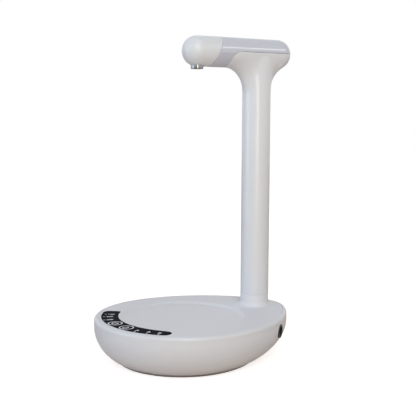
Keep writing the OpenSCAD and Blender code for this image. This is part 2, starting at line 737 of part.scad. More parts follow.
module pump_body() {
    color("lightgray") difference() {
        union() {
            along_y(motor_face_y) linear_extrude(pump_cover_y - motor_face_y) pump_outline(pump_wall);
            on_pump_screws(motor_face_y) cylinder(r = pump_bolt_r + 1.8, h = pump_cover_y - motor_face_y);
        }
        for (x = [motor_x, idler_x]) along_y(chamber_y) translate([x, -motor_z, 0]) cylinder(r = chamber_r, h = 2 * gear_w);
        // Port pockets on the two sides of the mesh
        along_y(chamber_y) translate([mesh_x, -motor_z, gear_w / 2])
            cube([2 * pipe_bore_r, 2 * pump_port_dz, gear_w], center = true);
        on_motor_axis(motor_face_y - 1) cylinder(r = shaft_r + running_gap, h = pump_back_t + 2);
        along_y(chamber_y - pin_seat) translate([idler_x, -motor_z, 0]) cylinder(r = idler_pin_r, h = gear_w);
        on_pump_screws(pump_cover_y - small_screw_len - 1) cylinder(r = pump_bolt_r, h = small_screw_len + 2);
    }
}

// End plate with the two hose barbs, suction above and delivery below
module pump_cover() {
    color("lightgray") difference() {
        union() {
            along_y(pump_cover_y) linear_extrude(pump_cover_t) pump_outline(pump_wall);
            on_pump_screws(pump_cover_y) cylinder(r = pump_bolt_r + 1.8, h = pump_cover_t);
            for (s = [-1, 1]) along_y(pump_cover_y + 0.5) translate([mesh_x, -motor_z + s * pump_port_dz, 0])
                cylinder(r = pipe_r, h = pump_cover_t - 0.5 + barb_len);
        }
        for (s = [-1, 1]) along_y(pump_cover_y - 1) translate([mesh_x, -motor_z + s * pump_port_dz, 0])
            cylinder(r = pipe_bore_r, h = pump_cover_t + barb_len + 2);
        along_y(pump_cover_y - pin_seat) translate([idler_x, -motor_z, 0]) cylinder(r = idler_pin_r, h = 2 * pin_seat);
        on_pump_screws(pump_cover_y - 1) cylinder(r = pump_bolt_r + pocket_gap, h = pump_cover_t + 2);
    }
}

module pump_screws() {
    color("silver") on_pump_screws(pump_face_y + small_head_t) mirror([0, 0, 1])
        screw(pump_bolt_r - snug_gap, pump_cover_t + small_screw_len, pump_bolt_r + 1, small_head_t);
}

// Strap over the motor, screwed to two posts of the bowl
module motor_clamp() {
    foot_x = motor_r + clamp_t + clamp_foot / 2;
    color("lightgray") difference() {
        union() {
            on_motor_axis(clamp_y - clamp_w / 2) cylinder(r = motor_r + clamp_t, h = clamp_w);
            translate([motor_x - foot_x - clamp_foot / 2, clamp_y - clamp_w / 2, clamp_post_z])
                cube([2 * foot_x + clamp_foot, clamp_w, clamp_t]);
        }
        on_motor_axis(clamp_y - clamp_w) cylinder(r = motor_r + 0.1, h = 2 * clamp_w);
        translate([motor_x - big / 2, -big / 2, clamp_post_z - big]) cube(big);
        for (s = [-1, 1]) translate([motor_x + s * foot_x, clamp_y, 0]) cylinder(r = small_r + 0.2, h = base_h);
    }
}

module clamp_screws() {
    color("silver") for (s = [-1, 1])
        translate([motor_x + s * (motor_r + clamp_t + clamp_foot / 2), clamp_y, clamp_post_z + clamp_t + small_head_t])
            mirror([0, 0, 1]) screw(small_r, clamp_t + small_screw_len - 1, small_head_r, small_head_t);
}

// Hose port and hoses

// Black fitting in the side wall: a flanged socket for the jug's hose, with a barb on its inner end
module hose_port() {
    inner_z = -port_depth - port_floor_t;
    color("black") on_side_wall(0) difference() {
        union() {
            translate([0, 0, -port_flange_t]) cylinder(r = port_flange_r, h = port_flange_t);
            translate([0, 0, inner_z]) cylinder(r = port_tail_r, h = -inner_z);
            translate([0, 0, inner_z - barb_len]) cylinder(r = pipe_r, h = barb_len + 1);
        }
        translate([0, 0, -port_depth]) cylinder(r = port_r, h = big);
        translate([0, 0, inner_z - barb_len - 1]) cylinder(r = pipe_bore_r, h = barb_len + port_depth + port_floor_t + 2);
    }
}

module port_nut() {
    color("dimgray") on_side_wall(0) translate([0, 0, -port_seat - port_nut_t]) difference() {
        cylinder(d = port_nut_af / cos(30), h = port_nut_t, $fn = 6);
        translate([0, 0, -1]) cylinder(r = port_tail_r + snug_gap, h = port_nut_t + 2);
    }
}

module port_seal() {
    color("dimgray") on_side_wall(0) translate([0, 0, -port_flange_t - port_seal_t])
        tube(port_flange_r, port_tail_r + snug_gap, port_seal_t);
}

// Ends of the hoses, as [end of the barb, direction out of the barb]
port_dir = [-cos(port_a), -sin(port_a), 0];
port_end = [-side_d, 0, port_z] - (side_r - port_depth - port_floor_t) * port_dir;
suction_end = [mesh_x, pump_face_y, motor_z + pump_port_dz];
delivery_end = [mesh_x, pump_face_y, motor_z - pump_port_dz];
union_end = [0, column_y - union_r, union_barb_z];

module suction_hose() {
    push = 0.3;
    color("lightcyan") hose([
        port_end + push * port_dir,
        port_end + barb_len * port_dir,
        port_end + (barb_len + 2) * port_dir,
        port_end + (barb_len + 7) * port_dir + [0, -1.5, -0.5],
        suction_end + [1.5, barb_len + 7, 0.3],
        suction_end + [0, barb_len + 2, 0],
        suction_end + [0, barb_len, 0],
        suction_end + [0, push, 0]
    ], 5);
}

module delivery_hose() {
    push = 0.3;
    color("lightcyan") hose([
        delivery_end + [0, push, 0],
        delivery_end + [0, barb_len, 0],
        delivery_end + [0, barb_len + 2, 0],
        delivery_end + [-2.5, barb_len + 9, -0.8],
        union_end + [2.5, -barb_len - 9, 0.8],
        union_end + [0, -barb_len - 2, 0],
        union_end + [0, -barb_len, 0],
        union_end + [0, -push, 0]
    ], 5);
}

// Socket on the floor that the turning riser dips into, with a barb towards the pump
module swivel_union() {
    color("lightgray") difference() {
        union() {
            translate([0, column_y, union_floor_z]) cylinder(r = union_r, h = union_z - union_floor_z);
            translate([0, column_y, union_barb_z]) rotate([90, 0, 0]) cylinder(r = pipe_r, h = union_r + barb_len);
        }
        translate([0, column_y, union_floor_z + 2]) cylinder(r = pipe_r + running_gap, h = union_z);
        translate([0, column_y, union_barb_z]) rotate([90, 0, 0]) cylinder(r = pipe_bore_r, h = union_r + barb_len + 1);
        translate([0, column_y, union_z - 2.6]) cylinder(r = pipe_r + 1.9, h = 4);
    }
}

module union_seal() {
    section = 0.9;
    color("dimgray") translate([0, column_y, union_z - 2.6 + section]) o_ring(pipe_r + running_gap + section, section);
}

// Column and arm

// Region that belongs to the saddle: below the arm's axis and behind a bent front edge
module saddle_side(grow) {
    y0 = saddle_y - grow;
    z1 = arm_z + grow;
    r = saddle_bend_r + grow;
    rotate([90, 0, 90]) translate([0, 0, -big / 2]) linear_extrude(big) union() {
        translate([y0 + r, z1 - big]) square([big, big]);
        translate([y0, z1 - big]) square([r + tiny, big - r]);
        translate([y0 + r, z1 - r]) circle(r);
    }
}

// Distances from the column's axis along a plan direction a, measured from the back
front_len = saddle_front + 10;
flare_side = 0.985;
function end_reach(c, l) = c * l + sqrt(max(pow(c * l, 2) - l * l + arm_r * arm_r, 0));
function arm_reach(a) =
    let(s = abs(sin(a)), c = cos(a), side = arm_r / max(s, 0.001), y = side * c)
    y > arm_tail ? end_reach(c, arm_tail) : y < -front_len ? end_reach(-c, front_len) : side;
function flare_reach(a) =
    let(l = cos(a) > 0 ? flare_back : flare_front, n = flare_power)
    pow(pow(abs(sin(a)) / (arm_r * flare_side), n) + pow(abs(cos(a)) / l, n), -1 / n);
// Underside of the arm at a distance from the column's axis
function off_axis(a, d) = norm([d * sin(a), max(d * cos(a) - arm_tail, 0), min(d * cos(a) + front_len, 0)]);
function under_arm(a, d) = arm_z - sqrt(max(pow(arm_r, 2) - pow(off_axis(a, d), 2), 0));
function under_slope(a, d) = (under_arm(a, d) - under_arm(a, d - tiny)) / tiny;
function bezier(p, t) = pow(1 - t, 3) * p[0] + 3 * t * pow(1 - t, 2) * p[1] + 3 * t * t * (1 - t) * p[2] + t * t * t * p[3];
function flare_point(a, t) =
    let(e = flare_reach(a), z = under_arm(a, e), h = 0.55 * (e - column_r))
    bezier([[column_r, flare_z], [column_r, flare_z + 0.6 * (z - flare_z)],
            [e - h, z - h * under_slope(a, e)], [e, z]], t);
saddle_sides = 80;
flare_rings = 8;
lower_rings = 5;
function saddle_ring(j) = [for (i = [0 : saddle_sides - 1])
    let(a = 360 * i / saddle_sides, e = flare_reach(a), m = arm_reach(a),
        d = e + (m - e) * sin(90 * min((j - flare_rings) / lower_rings, 1)),
        z = j < flare_rings + lower_rings ? under_arm(a, d) : arm_z + j - flare_rings - lower_rings,
        p = j <= flare_rings ? flare_point(a, j / flare_rings) : [d, z])
    [-p[0] * sin(a), column_y + p[0] * cos(a), p[1]]];

function column_foot() = [for (i = [0 : saddle_sides - 1]) let(a = 360 * i / saddle_sides)
    [-column_r * sin(a), column_y + column_r * cos(a), seam_z]];

// Round column, flaring out to the underside of the arm
module column_loft() {
    rings = flare_rings + lower_rings + 2;
    intersection() {
        polyhedron(
            points = concat(column_foot(), [for (j = [0 : rings - 1]) each saddle_ring(j)]),
            faces = loft_faces(saddle_sides, rings + 1),
            convexity = 4
        );
        saddle_side(0);
    }
}

module arm_bore() {
    along_y(spout_y) translate([0, -arm_z, 0]) cylinder(r = arm_bore_r, h = tail_y - spout_y);
    for (y = [spout_y, tail_y]) translate([0, y, arm_z]) sphere(arm_bore_r);
}

module column_shell() {
    color("white") difference() {
        union() {
            column_loft();
            translate([0, column_y, spigot_z]) cylinder(r = spigot_r, h = seam_z - spigot_z + 1);
        }
        translate([0, column_y, spigot_z - 1]) cylinder(r = spigot_bore_r, h = seam_z - spigot_z + 6);
        translate([0, column_y, seam_z + 4]) cylinder(r = column_bore_r, h = arm_z - seam_z);
        arm_bore();
    }
}

// Ring clipped on the spigot below the socket, with the tab that meets the stops
module lock_ring() {
    color("lightgray") translate([0, column_y, spigot_z + 0.4]) difference() {
        union() {
            cylinder(r = socket_r - 0.6, h = ring_h);
            rotate([0, 0, -90]) translate([spigot_r + 1, -2, 0]) cube([socket_r - spigot_r + 1.5, 4, ring_h]);
        }
        translate([0, 0, -1]) cylinder(r = spigot_r + snug_gap, h = ring_h + 2);
    }
}

riser_z = union_floor_z + 3;
riser_top_z = arm_z - arm_bend_r - 4;

module riser_pipe() {
    color("white") translate([0, column_y, riser_z]) tube(pipe_r, pipe_bore_r, riser_top_z - riser_z);
}

// Spoked discs that hold the riser in the middle of the column
module riser_guides() {
    thick = 4;
    color("lightgray") for (k = [0.25, 0.7]) translate([0, column_y, seam_z + k * (flare_z - seam_z)]) difference() {
        cylinder(r = column_bore_r - 0.1, h = thick);
        translate([0, 0, -1]) cylinder(r = pipe_r + 0.02, h = thick + 2);
        for (a = [0 : 120 : 240]) rotate([0, 0, a]) translate([(column_bore_r + pipe_r) / 2, 0, -1])
            cylinder(r = (column_bore_r - pipe_r) / 2 - 1.6, h = thick + 2);
    }
}

// Region in front of the nose cap's slanted seam, moved back by shift
module before_seam(shift) {
    translate([0, nose_seam_y, arm_z]) rotate([-nose_tilt, 0, 0]) translate([-big / 2, shift - big, -big / 2]) cube(big);
}

// Top of the arm: a full tube in front of the saddle, a half shell over it, and a lip for the nose cap
module arm_cover() {
    lip_t = 1.5;
    color("white") difference() {
        union() {
            difference() {
                union() {
                    along_y(spout_y) translate([0, -arm_z, 0]) cylinder(r = arm_r, h = tail_y - spout_y);
                    translate([0, tail_y, arm_z]) sphere(arm_r);
                }
                before_seam(seam_gap);
            }
            difference() {
                along_y(spout_y) translate([0, -arm_z, 0]) cylinder(r = arm_bore_r - 0.1, h = nose_len + arm_r);
                before_seam(-lip_len);
            }
        }
        along_y(spout_y - 1) translate([0, -arm_z, 0]) cylinder(r = arm_bore_r - 0.1 - lip_t, h = tail_y - spout_y);
        difference() {
            arm_bore();
            before_seam(seam_gap + 2);
        }
        // Room for the nozzle's seat in the nose cap
        translate([0, spout_y, 0]) cylinder(r = nozzle_seat_r + 0.5, h = arm_z);
        saddle_side(pocket_gap);
    }
}

seat_z = arm_z - arm_bore_r + 3;
nozzle_z = arm_z - arm_r - nozzle_show;
nozzle_r = nozzle_d / 2;
nozzle_seat_r = nozzle_r + 2;
nozzle_flange_t = 1.6;

// Round nose of the arm with a flat seat for the nozzle
module nose_cap() {
    below = arm_z - 2 * arm_r;
    color("white") difference() {
        intersection() {
            union() {
                translate([0, spout_y, arm_z]) sphere(arm_r);
                along_y(spout_y) translate([0, -arm_z, 0]) cylinder(r = arm_r, h = nose_len + arm_r);
            }
            before_seam(0);
        }
        difference() {
            arm_bore();
            translate([0, spout_y, below]) cylinder(r = nozzle_seat_r, h = seat_z - below);
        }
        translate([0, spout_y, below]) cylinder(r = nozzle_r + snug_gap, h = 2 * arm_r);
    }
}

// Steel nozzle with a flange that rests on the nose cap's seat
module spout_nozzle() {
    color("silver") translate([0, spout_y, 0]) difference() {
        union() {
            translate([0, 0, nozzle_z]) cylinder(r = nozzle_r, h = seat_z - nozzle_z + tiny);
            translate([0, 0, seat_z]) cylinder(r = nozzle_r + 1.2, h = nozzle_flange_t);
        }
        translate([0, 0, nozzle_z - 1]) cylinder(d = nozzle_bore_d, h = seat_z - nozzle_z + 10);
        translate([0, 0, nozzle_z + nozzle_tip]) cylinder(r = nozzle_socket_r, h = seat_z - nozzle_z + 10);
    }
}

nozzle_socket_r = nozzle_bore_d / 2 + 0.3;
elbow_plug_r = nozzle_socket_r - snug_gap;
elbow_plug_len = seat_z + nozzle_flange_t - nozzle_z - nozzle_tip;

module nozzle_seal() {
    section = 0.7;
    color("dimgray") translate([0, spout_y, seat_z - 1.5]) o_ring(nozzle_socket_r - section, section);
}

// Elbow that plugs into the nozzle and turns the water line along the arm
module outlet_elbow() {
    shoulder_r = nozzle_r + 0.6;
    z0 = seat_z + nozzle_flange_t;
    groove_r = nozzle_socket_r - 1.4;
    color("lightgray") difference() {
        union() {
            translate([0, spout_y, z0 - elbow_plug_len]) cylinder(r = elbow_plug_r, h = elbow_plug_len + 1);
            translate([0, spout_y, z0]) cylinder(r = shoulder_r, h = arm_z + pipe_r + 1 - z0);
            along_y(spout_y) translate([0, -arm_z, 0]) cylinder(r = pipe_r, h = shoulder_r + barb_len);
        }
        translate([0, spout_y, z0 - elbow_plug_len - 1])
            cylinder(r = pipe_bore_r, h = arm_z + pipe_bore_r - z0 + elbow_plug_len + 1);
        along_y(spout_y) translate([0, -arm_z, 0]) cylinder(r = pipe_bore_r, h = big);
        translate([0, spout_y, seat_z - 2.3]) tube(elbow_plug_r + 1, groove_r, 1.6);
    }
}

// Hose from the riser's top, round a bend and along the arm to the elbow
module arm_hose() {
    y_end = spout_y + nozzle_r + 0.9;
    y_bend = column_y - arm_bend_r;
    z_bend = arm_z - arm_bend_r;
    grip = 8;
    color("lightcyan") {
        translate([0, column_y, riser_top_z - grip]) tube(hose_r, hose_bore_r, z_bend - riser_top_z + grip);
        translate([0, y_bend, z_bend]) rotate([90, 0, 90]) rotate_extrude(angle = 90)
            translate([arm_bend_r, 0]) difference() {
                circle(hose_r);
                circle(hose_bore_r);
            }
        along_y(y_end) translate([0, -arm_z, 0]) tube(hose_r, hose_bore_r, y_bend - y_end);
    }
}

base_bowl();
top_cover();
control_panel();
control_board();
touch_pads();
board_screws();
anti_slip_pad();
base_screws();
battery_cell();
battery_cradle();
charging_board();
charging_socket();
motor_can();
motor_end_cap();
motor_magnets();
motor_armature();
pump_body();
pump_cover();
pump_screws();
drive_gear();
idler_gear();
idler_pin();
motor_clamp();
clamp_screws();
hose_port();
port_nut();
port_seal();
suction_hose();
delivery_hose();
swivel_union();
union_seal();
column_shell();
lock_ring();
riser_pipe();
riser_guides();
arm_cover();
nose_cap();
spout_nozzle();
nozzle_seal();
outlet_elbow();
arm_hose();
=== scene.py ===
import math

import bmesh
import bpy
import numpy as np
from mathutils import Matrix


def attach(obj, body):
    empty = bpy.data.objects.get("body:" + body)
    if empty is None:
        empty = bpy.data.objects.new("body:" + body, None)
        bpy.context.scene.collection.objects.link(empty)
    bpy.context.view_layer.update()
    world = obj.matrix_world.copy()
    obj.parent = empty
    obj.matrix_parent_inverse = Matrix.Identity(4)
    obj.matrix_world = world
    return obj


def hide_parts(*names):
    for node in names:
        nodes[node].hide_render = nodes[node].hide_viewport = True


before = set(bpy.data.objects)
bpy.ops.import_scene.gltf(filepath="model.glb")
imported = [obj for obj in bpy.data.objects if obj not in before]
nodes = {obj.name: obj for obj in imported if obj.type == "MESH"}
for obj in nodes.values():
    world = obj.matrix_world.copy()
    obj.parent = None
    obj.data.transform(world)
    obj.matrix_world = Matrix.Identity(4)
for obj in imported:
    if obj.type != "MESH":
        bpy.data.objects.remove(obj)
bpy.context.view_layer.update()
scene = bpy.context.scene
scene.view_settings.view_transform = "Standard"


# Camera: placed by the outlines of the base, column and arm, about six degrees above the table
# and well round to the right of the control panel. The image is square.
def stance(right, up, back, place):
    """World matrix of an object, from the directions of its own three axes and its place in metres."""
    axes = np.column_stack([right, up, back, place])
    return Matrix(np.vstack([axes, [0.0, 0.0, 0.0, 1.0]]).tolist())


view_turn, view_rise, view_roll = np.radians([56.52, 6.19, 0.27])
view_from = np.array([0.6850, -0.4245, 0.2373])
view_level = np.array([math.cos(view_turn), math.sin(view_turn), 0.0])
view_flat = np.array([math.sin(view_turn), -math.cos(view_turn), 0.0])
view_back = math.cos(view_rise) * view_flat + math.sin(view_rise) * np.array([0.0, 0.0, 1.0])
view_plumb = np.cross(view_back, view_level)
view_right = math.cos(view_roll) * view_level + math.sin(view_roll) * view_plumb
view_up = math.cos(view_roll) * view_plumb - math.sin(view_roll) * view_level
camera_data = bpy.data.cameras.new("camera")
camera_data.sensor_width = 36.0
camera_data.lens = 74.44
camera_data.shift_y = -0.013
camera_data.clip_start = 0.01
camera = bpy.data.objects.new("camera", camera_data)
camera.matrix_world = stance(view_right, view_up, view_back, view_from)
scene.collection.objects.link(camera)
scene.camera = camera


# Table and studio: a white table under soft light, with a cool soft box low on the left, one high in
# front, a warm one low beside the camera and a narrow strip behind that draws a line along the arm.
# The room is dimmer towards the back right, but the camera and the shiny pieces see it white.
def skin(name, *sheets):
    """Makes one mesh of sheets of corners in millimetres. The four neighbours at rows i, i + 1 and columns
    j, j + 1 of a sheet make a face, a face with a missing (nan) corner is left out, and corners that
    fall together are merged, so that seams and poles close."""
    corners = np.concatenate([sheet.reshape(-1, 3) for sheet in sheets])
    starts = np.cumsum([0] + [sheet.shape[0] * sheet.shape[1] for sheet in sheets[:-1]])
    quads = []
    for start, sheet in zip(starts, sheets):
        grid = start + np.arange(sheet.shape[0] * sheet.shape[1]).reshape(sheet.shape[:2])
        around = [grid[:-1, :-1], grid[:-1, 1:], grid[1:, 1:], grid[1:, :-1]]
        quads.append(np.stack(around, -1).reshape(-1, 4))
    quads = np.concatenate(quads)
    quads = quads[~np.isnan(corners[quads]).any(axis=(1, 2))]
    used = np.unique(quads)
    place = np.zeros(len(corners), int)
    place[used] = np.arange(len(used))
    mesh = bpy.data.meshes.new(name)
    mesh.from_pydata((corners[used] * 0.001).tolist(), [], place[quads].tolist())
    form = bmesh.new()
    form.from_mesh(mesh)
    bmesh.ops.remove_doubles(form, verts=form.verts, dist=2e-6)
    bmesh.ops.recalc_face_normals(form, faces=form.faces)
    form.to_mesh(mesh)
    form.free()
    mesh.polygons.foreach_set("use_smooth", np.ones(len(mesh.polygons), bool))
    mesh.set_sharp_from_angle(angle=math.radians(40))
    piece = bpy.data.objects.new(name, mesh)
    scene.collection.objects.link(piece)
    return piece


def new_finish(name):
    """Returns a fresh material, its node tree and its main shader."""
    finish = bpy.data.materials.new(name)
    finish.use_nodes = True
    return finish, finish.node_tree, finish.node_tree.nodes["Principled BSDF"]


def value_between(tree, drive, low, high, start, end):
    """Value that runs from start to end while the driving value runs from low to high."""
    span = tree.nodes.new("ShaderNodeMapRange")
    span.inputs["From Min"].default_value, span.inputs["From Max"].default_value = low, high
    span.inputs["To Min"].default_value, span.inputs["To Max"].default_value = start, end
    tree.links.new(drive, span.inputs["Value"])
    return span.outputs["Result"]


table_span, table_z = np.linspace(-3000, 3000, 9), -0.1
table_x, table_y = np.meshgrid(table_span, table_span)
table = skin("table_top", np.stack([table_x, table_y, np.full_like(table_x, table_z)], -1))
table_white, tree, paint = new_finish("table_white")
paint.inputs["Base Color"].default_value = (0.75, 0.65, 0.58, 1)
paint.inputs["Roughness"].default_value = 0.7
paint.inputs["Emission Color"].default_value = (1, 1, 1, 1)
seen = tree.nodes.new("ShaderNodeLightPath")
glow = tree.nodes.new("ShaderNodeMath")
glow.operation = "MULTIPLY"
glow.inputs[1].default_value = 0.72
tree.links.new(seen.outputs["Is Camera Ray"], glow.inputs[0])
tree.links.new(glow.outputs[0], paint.inputs["Emission Strength"])
table.data.materials.append(table_white)

room = bpy.data.worlds.new("white_room")
room.use_nodes = True
scene.world = room
tree = room.node_tree
plain = tree.nodes["Background"]
plain.inputs["Color"].default_value = (1.0, 0.97, 1.0, 1)
where = tree.nodes.new("ShaderNodeTexCoord")
toward = tree.nodes.new("ShaderNodeVectorMath")
toward.operation = "DOT_PRODUCT"
toward.inputs[1].default_value = (0.7, 0.7, 0.0)
tree.links.new(where.outputs["Generated"], toward.inputs[0])
room_bright, room_dim = 0.44, 0.1
room_level = value_between(tree, toward.outputs["Value"], 0.0, 1.0, room_bright, room_dim)
tree.links.new(room_level, plain.inputs["Strength"])
white = tree.nodes.new("ShaderNodeBackground")
white.inputs["Color"].default_value = (1, 1, 1, 1)
seen = tree.nodes.new("ShaderNodeLightPath")
either = tree.nodes.new("ShaderNodeMath")
either.operation = "MAXIMUM"
any_of = tree.nodes.new("ShaderNodeMath")
any_of.operation = "MAXIMUM"
pick = tree.nodes.new("ShaderNodeMixShader")
tree.links.new(seen.outputs["Is Camera Ray"], either.inputs[0])
tree.links.new(seen.outputs["Is Glossy Ray"], either.inputs[1])
tree.links.new(either.outputs[0], any_of.inputs[0])
tree.links.new(seen.outputs["Is Transmission Ray"], any_of.inputs[1])
tree.links.new(any_of.outputs[0], pick.inputs[0])
tree.links.new(plain.outputs[0], pick.inputs[1])
tree.links.new(white.outputs[0], pick.inputs[2])
tree.links.new(pick.outputs[0], tree.nodes["World Output"].inputs["Surface"])

pump_middle, arm_middle = (0.0, 0.03, 0.15), (0.0, 0.06, 0.29)
box_size, strip_size = (0.5, 0.9), (1.1, 0.16)
for lamp_name, lamp_from, lamp_to, lamp_size, lamp_power, lamp_colour in (
    ("left_box", (-0.465, -1.359, 0.462), pump_middle, box_size, 3.8, (0.48, 0.74, 1.0)),
    ("front_box", (1.037, -0.464, 1.114), pump_middle, box_size, 6.8, (0.87, 0.95, 1.0)),
    ("right_box", (1.36, -0.52, 0.48), pump_middle, box_size, 4.2, (1.0, 0.89, 0.7)),
    ("arm_strip", (1.07, 0.96, 1.01), arm_middle, strip_size, 1.5, (1.0, 0.99, 0.96)),
):
    lamp_data = bpy.data.lights.new(lamp_name, "AREA")
    lamp_data.shape = "RECTANGLE"
    lamp_data.size, lamp_data.size_y = lamp_size
    lamp_data.energy = lamp_power
    lamp_data.color = lamp_colour
    lamp = bpy.data.objects.new(lamp_name, lamp_data)
    back = np.array(lamp_from) - np.array(lamp_to)
    back = back / np.linalg.norm(back)
    side = np.cross([0.0, 0.0, 1.0], back)
    side = side / np.linalg.norm(side)
    lamp.matrix_world = stance(side, np.cross(back, side), back, lamp_from)
    scene.collection.objects.link(lamp)


# Base bowl: the egg-shaped lower shell that everything is screwed into, with a bowl-curved side and
# a rounded rim. Satin white plastic, injection moulded, with openings for the port and the charger.
front_r, back_r, back_y = 84.0, 38.0, 76.0
side_d = (back_y ** 2 - (front_r - back_r) ** 2) / (2 * (front_r - back_r))
side_r = front_r + side_d
side_a = math.atan2(back_y, side_d)
base_h = 42.0


def egg(turn, inset, under=0.0):
    """Egg outline, moved in by inset: the point whose outward normal stands at the angle turn is the
    centre of the arc that owns this angle, plus the arc's radius less inset along the normal. The front
    arc owns the half turn below the X axis, and the back arc the angles within a right angle less side_a
    of the Y axis. Behind the X axis the inset grows by under times the squared sine of turn."""
    turn, inset, under = np.broadcast_arrays(np.mod(turn, 2 * np.pi), inset, under)
    inset = inset + under * np.maximum(np.sin(turn), 0) ** 2
    owner = [turn >= np.pi, turn < side_a, turn <= np.pi - side_a]
    x = np.select(owner, [0.0, -side_d, 0.0], side_d)
    y = np.select(owner, [0.0, 0.0, back_y], 0.0)
    radius = np.select(owner, [front_r, side_r, back_r], side_r)
    return np.stack([x + (radius - inset) * np.cos(turn), y + (radius - inset) * np.sin(turn)], -1)


def egg_turns():
    """Angles of the outward normal all round the egg, spaced so that the corners lie about evenly along
    it."""
    return np.concatenate([np.linspace(np.pi, 2 * np.pi, 190, endpoint=False),
                           2 * np.pi + np.linspace(0, side_a, 100, endpoint=False),
                           2 * np.pi + np.linspace(side_a, np.pi - side_a, 36, endpoint=False),
                           2 * np.pi + np.linspace(np.pi - side_a, np.pi, 101)])


def on_wall(side, angle, height):
    """Middle, outward and level directions of a fitting in the side wall: its place is on the side arc at
    the angle from the widest point, with side 1 on the right and -1 mirrored to the left."""
    out = np.array([side * math.cos(angle), math.sin(angle), 0.0])
    level = np.array([-side * math.sin(angle), math.cos(angle), 0.0])
    return np.array([-side * side_d, 0.0, height]) + side_r * out, out, level


def pierce(sheet, place, half_width, radius):
    """Opens a round-ended hole through a wall: a corner's distance from the hole's middle line, less the
    radius, tells how far inside it is; corners in the edge band slide straight out to it, and those
    further in are dropped."""
    wall_reach, edge_band = 14.0, 1.3
    middle, out, level = place
    along = (sheet - middle) @ level
    rise = sheet[..., 2] - middle[2]
    core = np.clip(along, -half_width, half_width)
    reach = np.hypot(along - core, rise)
    near = (np.abs((sheet - middle) @ out) < wall_reach) & (reach < radius)
    push = np.where(near, radius / np.maximum(reach, 1e-6) - 1, 0.0)
    away = (along - core)[..., None] * level + rise[..., None] * np.array([0.0, 0.0, 1.0])
    opened = sheet + push[..., None] * away
    opened[near & (reach < radius - edge_band)] = np.nan
    return opened


side_w, side_cut, undercut, curve_z = 40.0, 0.86, 0.69, 33.5
floor_t, floor_y, pad_t, pad_nip = 2.4, 30.0, 2.5, 0.5
rim_r, mouth_in, mouth_nip = 3.0, 3.4, 0.15
ledge_in, ledge_z, ledge_low = 6.2, 39.4, 37.0
side_h = (curve_z - pad_t) / side_cut
swing = np.linspace(math.asin(side_cut), 0, 60)
fall, drop = side_w * (1 - np.cos(swing)), side_h * np.sin(swing)
wall = np.linspace(curve_z, base_h - rim_r, 8)[1:]
roll = np.linspace(0, np.pi / 2, 14)[1:]
nip = np.linspace(0, np.pi / 2, 4)
bowl_inset = np.concatenate([
    fall[:1] + pad_nip,
    fall,
    np.zeros(len(wall)),
    rim_r * (1 - np.cos(roll)),
    mouth_in - mouth_nip * (1 - np.sin(nip)),
    [mouth_in, ledge_in, ledge_in],
    floor_t + fall[::-1],
    floor_t + fall[:1] + pad_nip,
])
bowl_under = undercut * np.concatenate([
    fall[:1],
    fall,
    np.zeros(len(wall) + len(roll) + len(nip) + 3),
    fall[::-1],
    fall[:1],
])
bowl_z = np.concatenate([
    [pad_t],
    curve_z - drop,
    wall,
    base_h - rim_r * (1 - np.sin(roll)),
    base_h - mouth_nip * (1 - np.cos(nip)),
    [ledge_z, ledge_z, ledge_low],
    curve_z + floor_t - drop[::-1],
    [pad_t + floor_t],
])
ring = egg(egg_turns()[None, :], bowl_inset[:, None], bowl_under[:, None])
bowl = np.dstack([ring, np.broadcast_to(bowl_z[:, None], ring.shape[:2])])
pole = np.broadcast_to([0.0, floor_y, 0.0], bowl[:1].shape)
bowl = np.concatenate([pole + [0, 0, pad_t], bowl, pole + [0, 0, pad_t + floor_t]])
fitting_turn, fitting_z = math.radians(34.5), 30.0
port_hole_r, slot_half, slot_end_r = 6.55, 2.85, 1.8
bowl = pierce(bowl, on_wall(1, fitting_turn, fitting_z), 0.0, port_hole_r)
bowl = pierce(bowl, on_wall(-1, fitting_turn, fitting_z), slot_half, slot_end_r)
base_bowl = skin("base_shell", bowl)


def moulded_skin():
    """Surface of a moulded part, as a node group: Height is the fine spark-eroded texture of the mould, and
    Tone a slow cloudiness from the flow of the plastic."""
    group = bpy.data.node_groups.new("moulded_skin", "ShaderNodeTree")
    group.interface.new_socket("Grain Scale", in_out="INPUT", socket_type="NodeSocketFloat")
    group.interface.new_socket("Height", in_out="OUTPUT", socket_type="NodeSocketFloat")
    group.interface.new_socket("Tone", in_out="OUTPUT", socket_type="NodeSocketFloat")
    give, take = group.nodes.new("NodeGroupInput"), group.nodes.new("NodeGroupOutput")
    where = group.nodes.new("ShaderNodeTexCoord")
    grain = group.nodes.new("ShaderNodeTexNoise")
    grain.inputs["Detail"].default_value = 2.0
    cloud = group.nodes.new("ShaderNodeTexNoise")
    cloud.inputs["Scale"].default_value = 14.0
    cloud.inputs["Detail"].default_value = 3.0
    group.links.new(give.outputs["Grain Scale"], grain.inputs["Scale"])
    group.links.new(where.outputs["Object"], grain.inputs["Vector"])
    group.links.new(where.outputs["Object"], cloud.inputs["Vector"])
    group.links.new(grain.outputs["Fac"], take.inputs["Height"])
    group.links.new(cloud.outputs["Fac"], take.inputs["Tone"])
    return group


moulded = moulded_skin()


def colour_between(tree, drive, low, high, dark, light):
    """Colour that runs from dark to light while the driving value runs from low to high."""
    ramp = tree.nodes.new("ShaderNodeValToRGB")
    first, last = ramp.color_ramp.elements
    first.position, last.position = low, high
    first.color, last.color = (*dark, 1), (*light, 1)
    tree.links.new(drive, ramp.inputs["Fac"])
    return ramp.outputs["Color"]


def lifted(tree, height, depth):
    """Normal of a surface that the height lifts by up to depth metres."""
    bump = tree.nodes.new("ShaderNodeBump")
    bump.inputs["Strength"].default_value = 1.0
    bump.inputs["Distance"].default_value = depth
    tree.links.new(height, bump.inputs["Height"])
    return bump.outputs["Normal"]


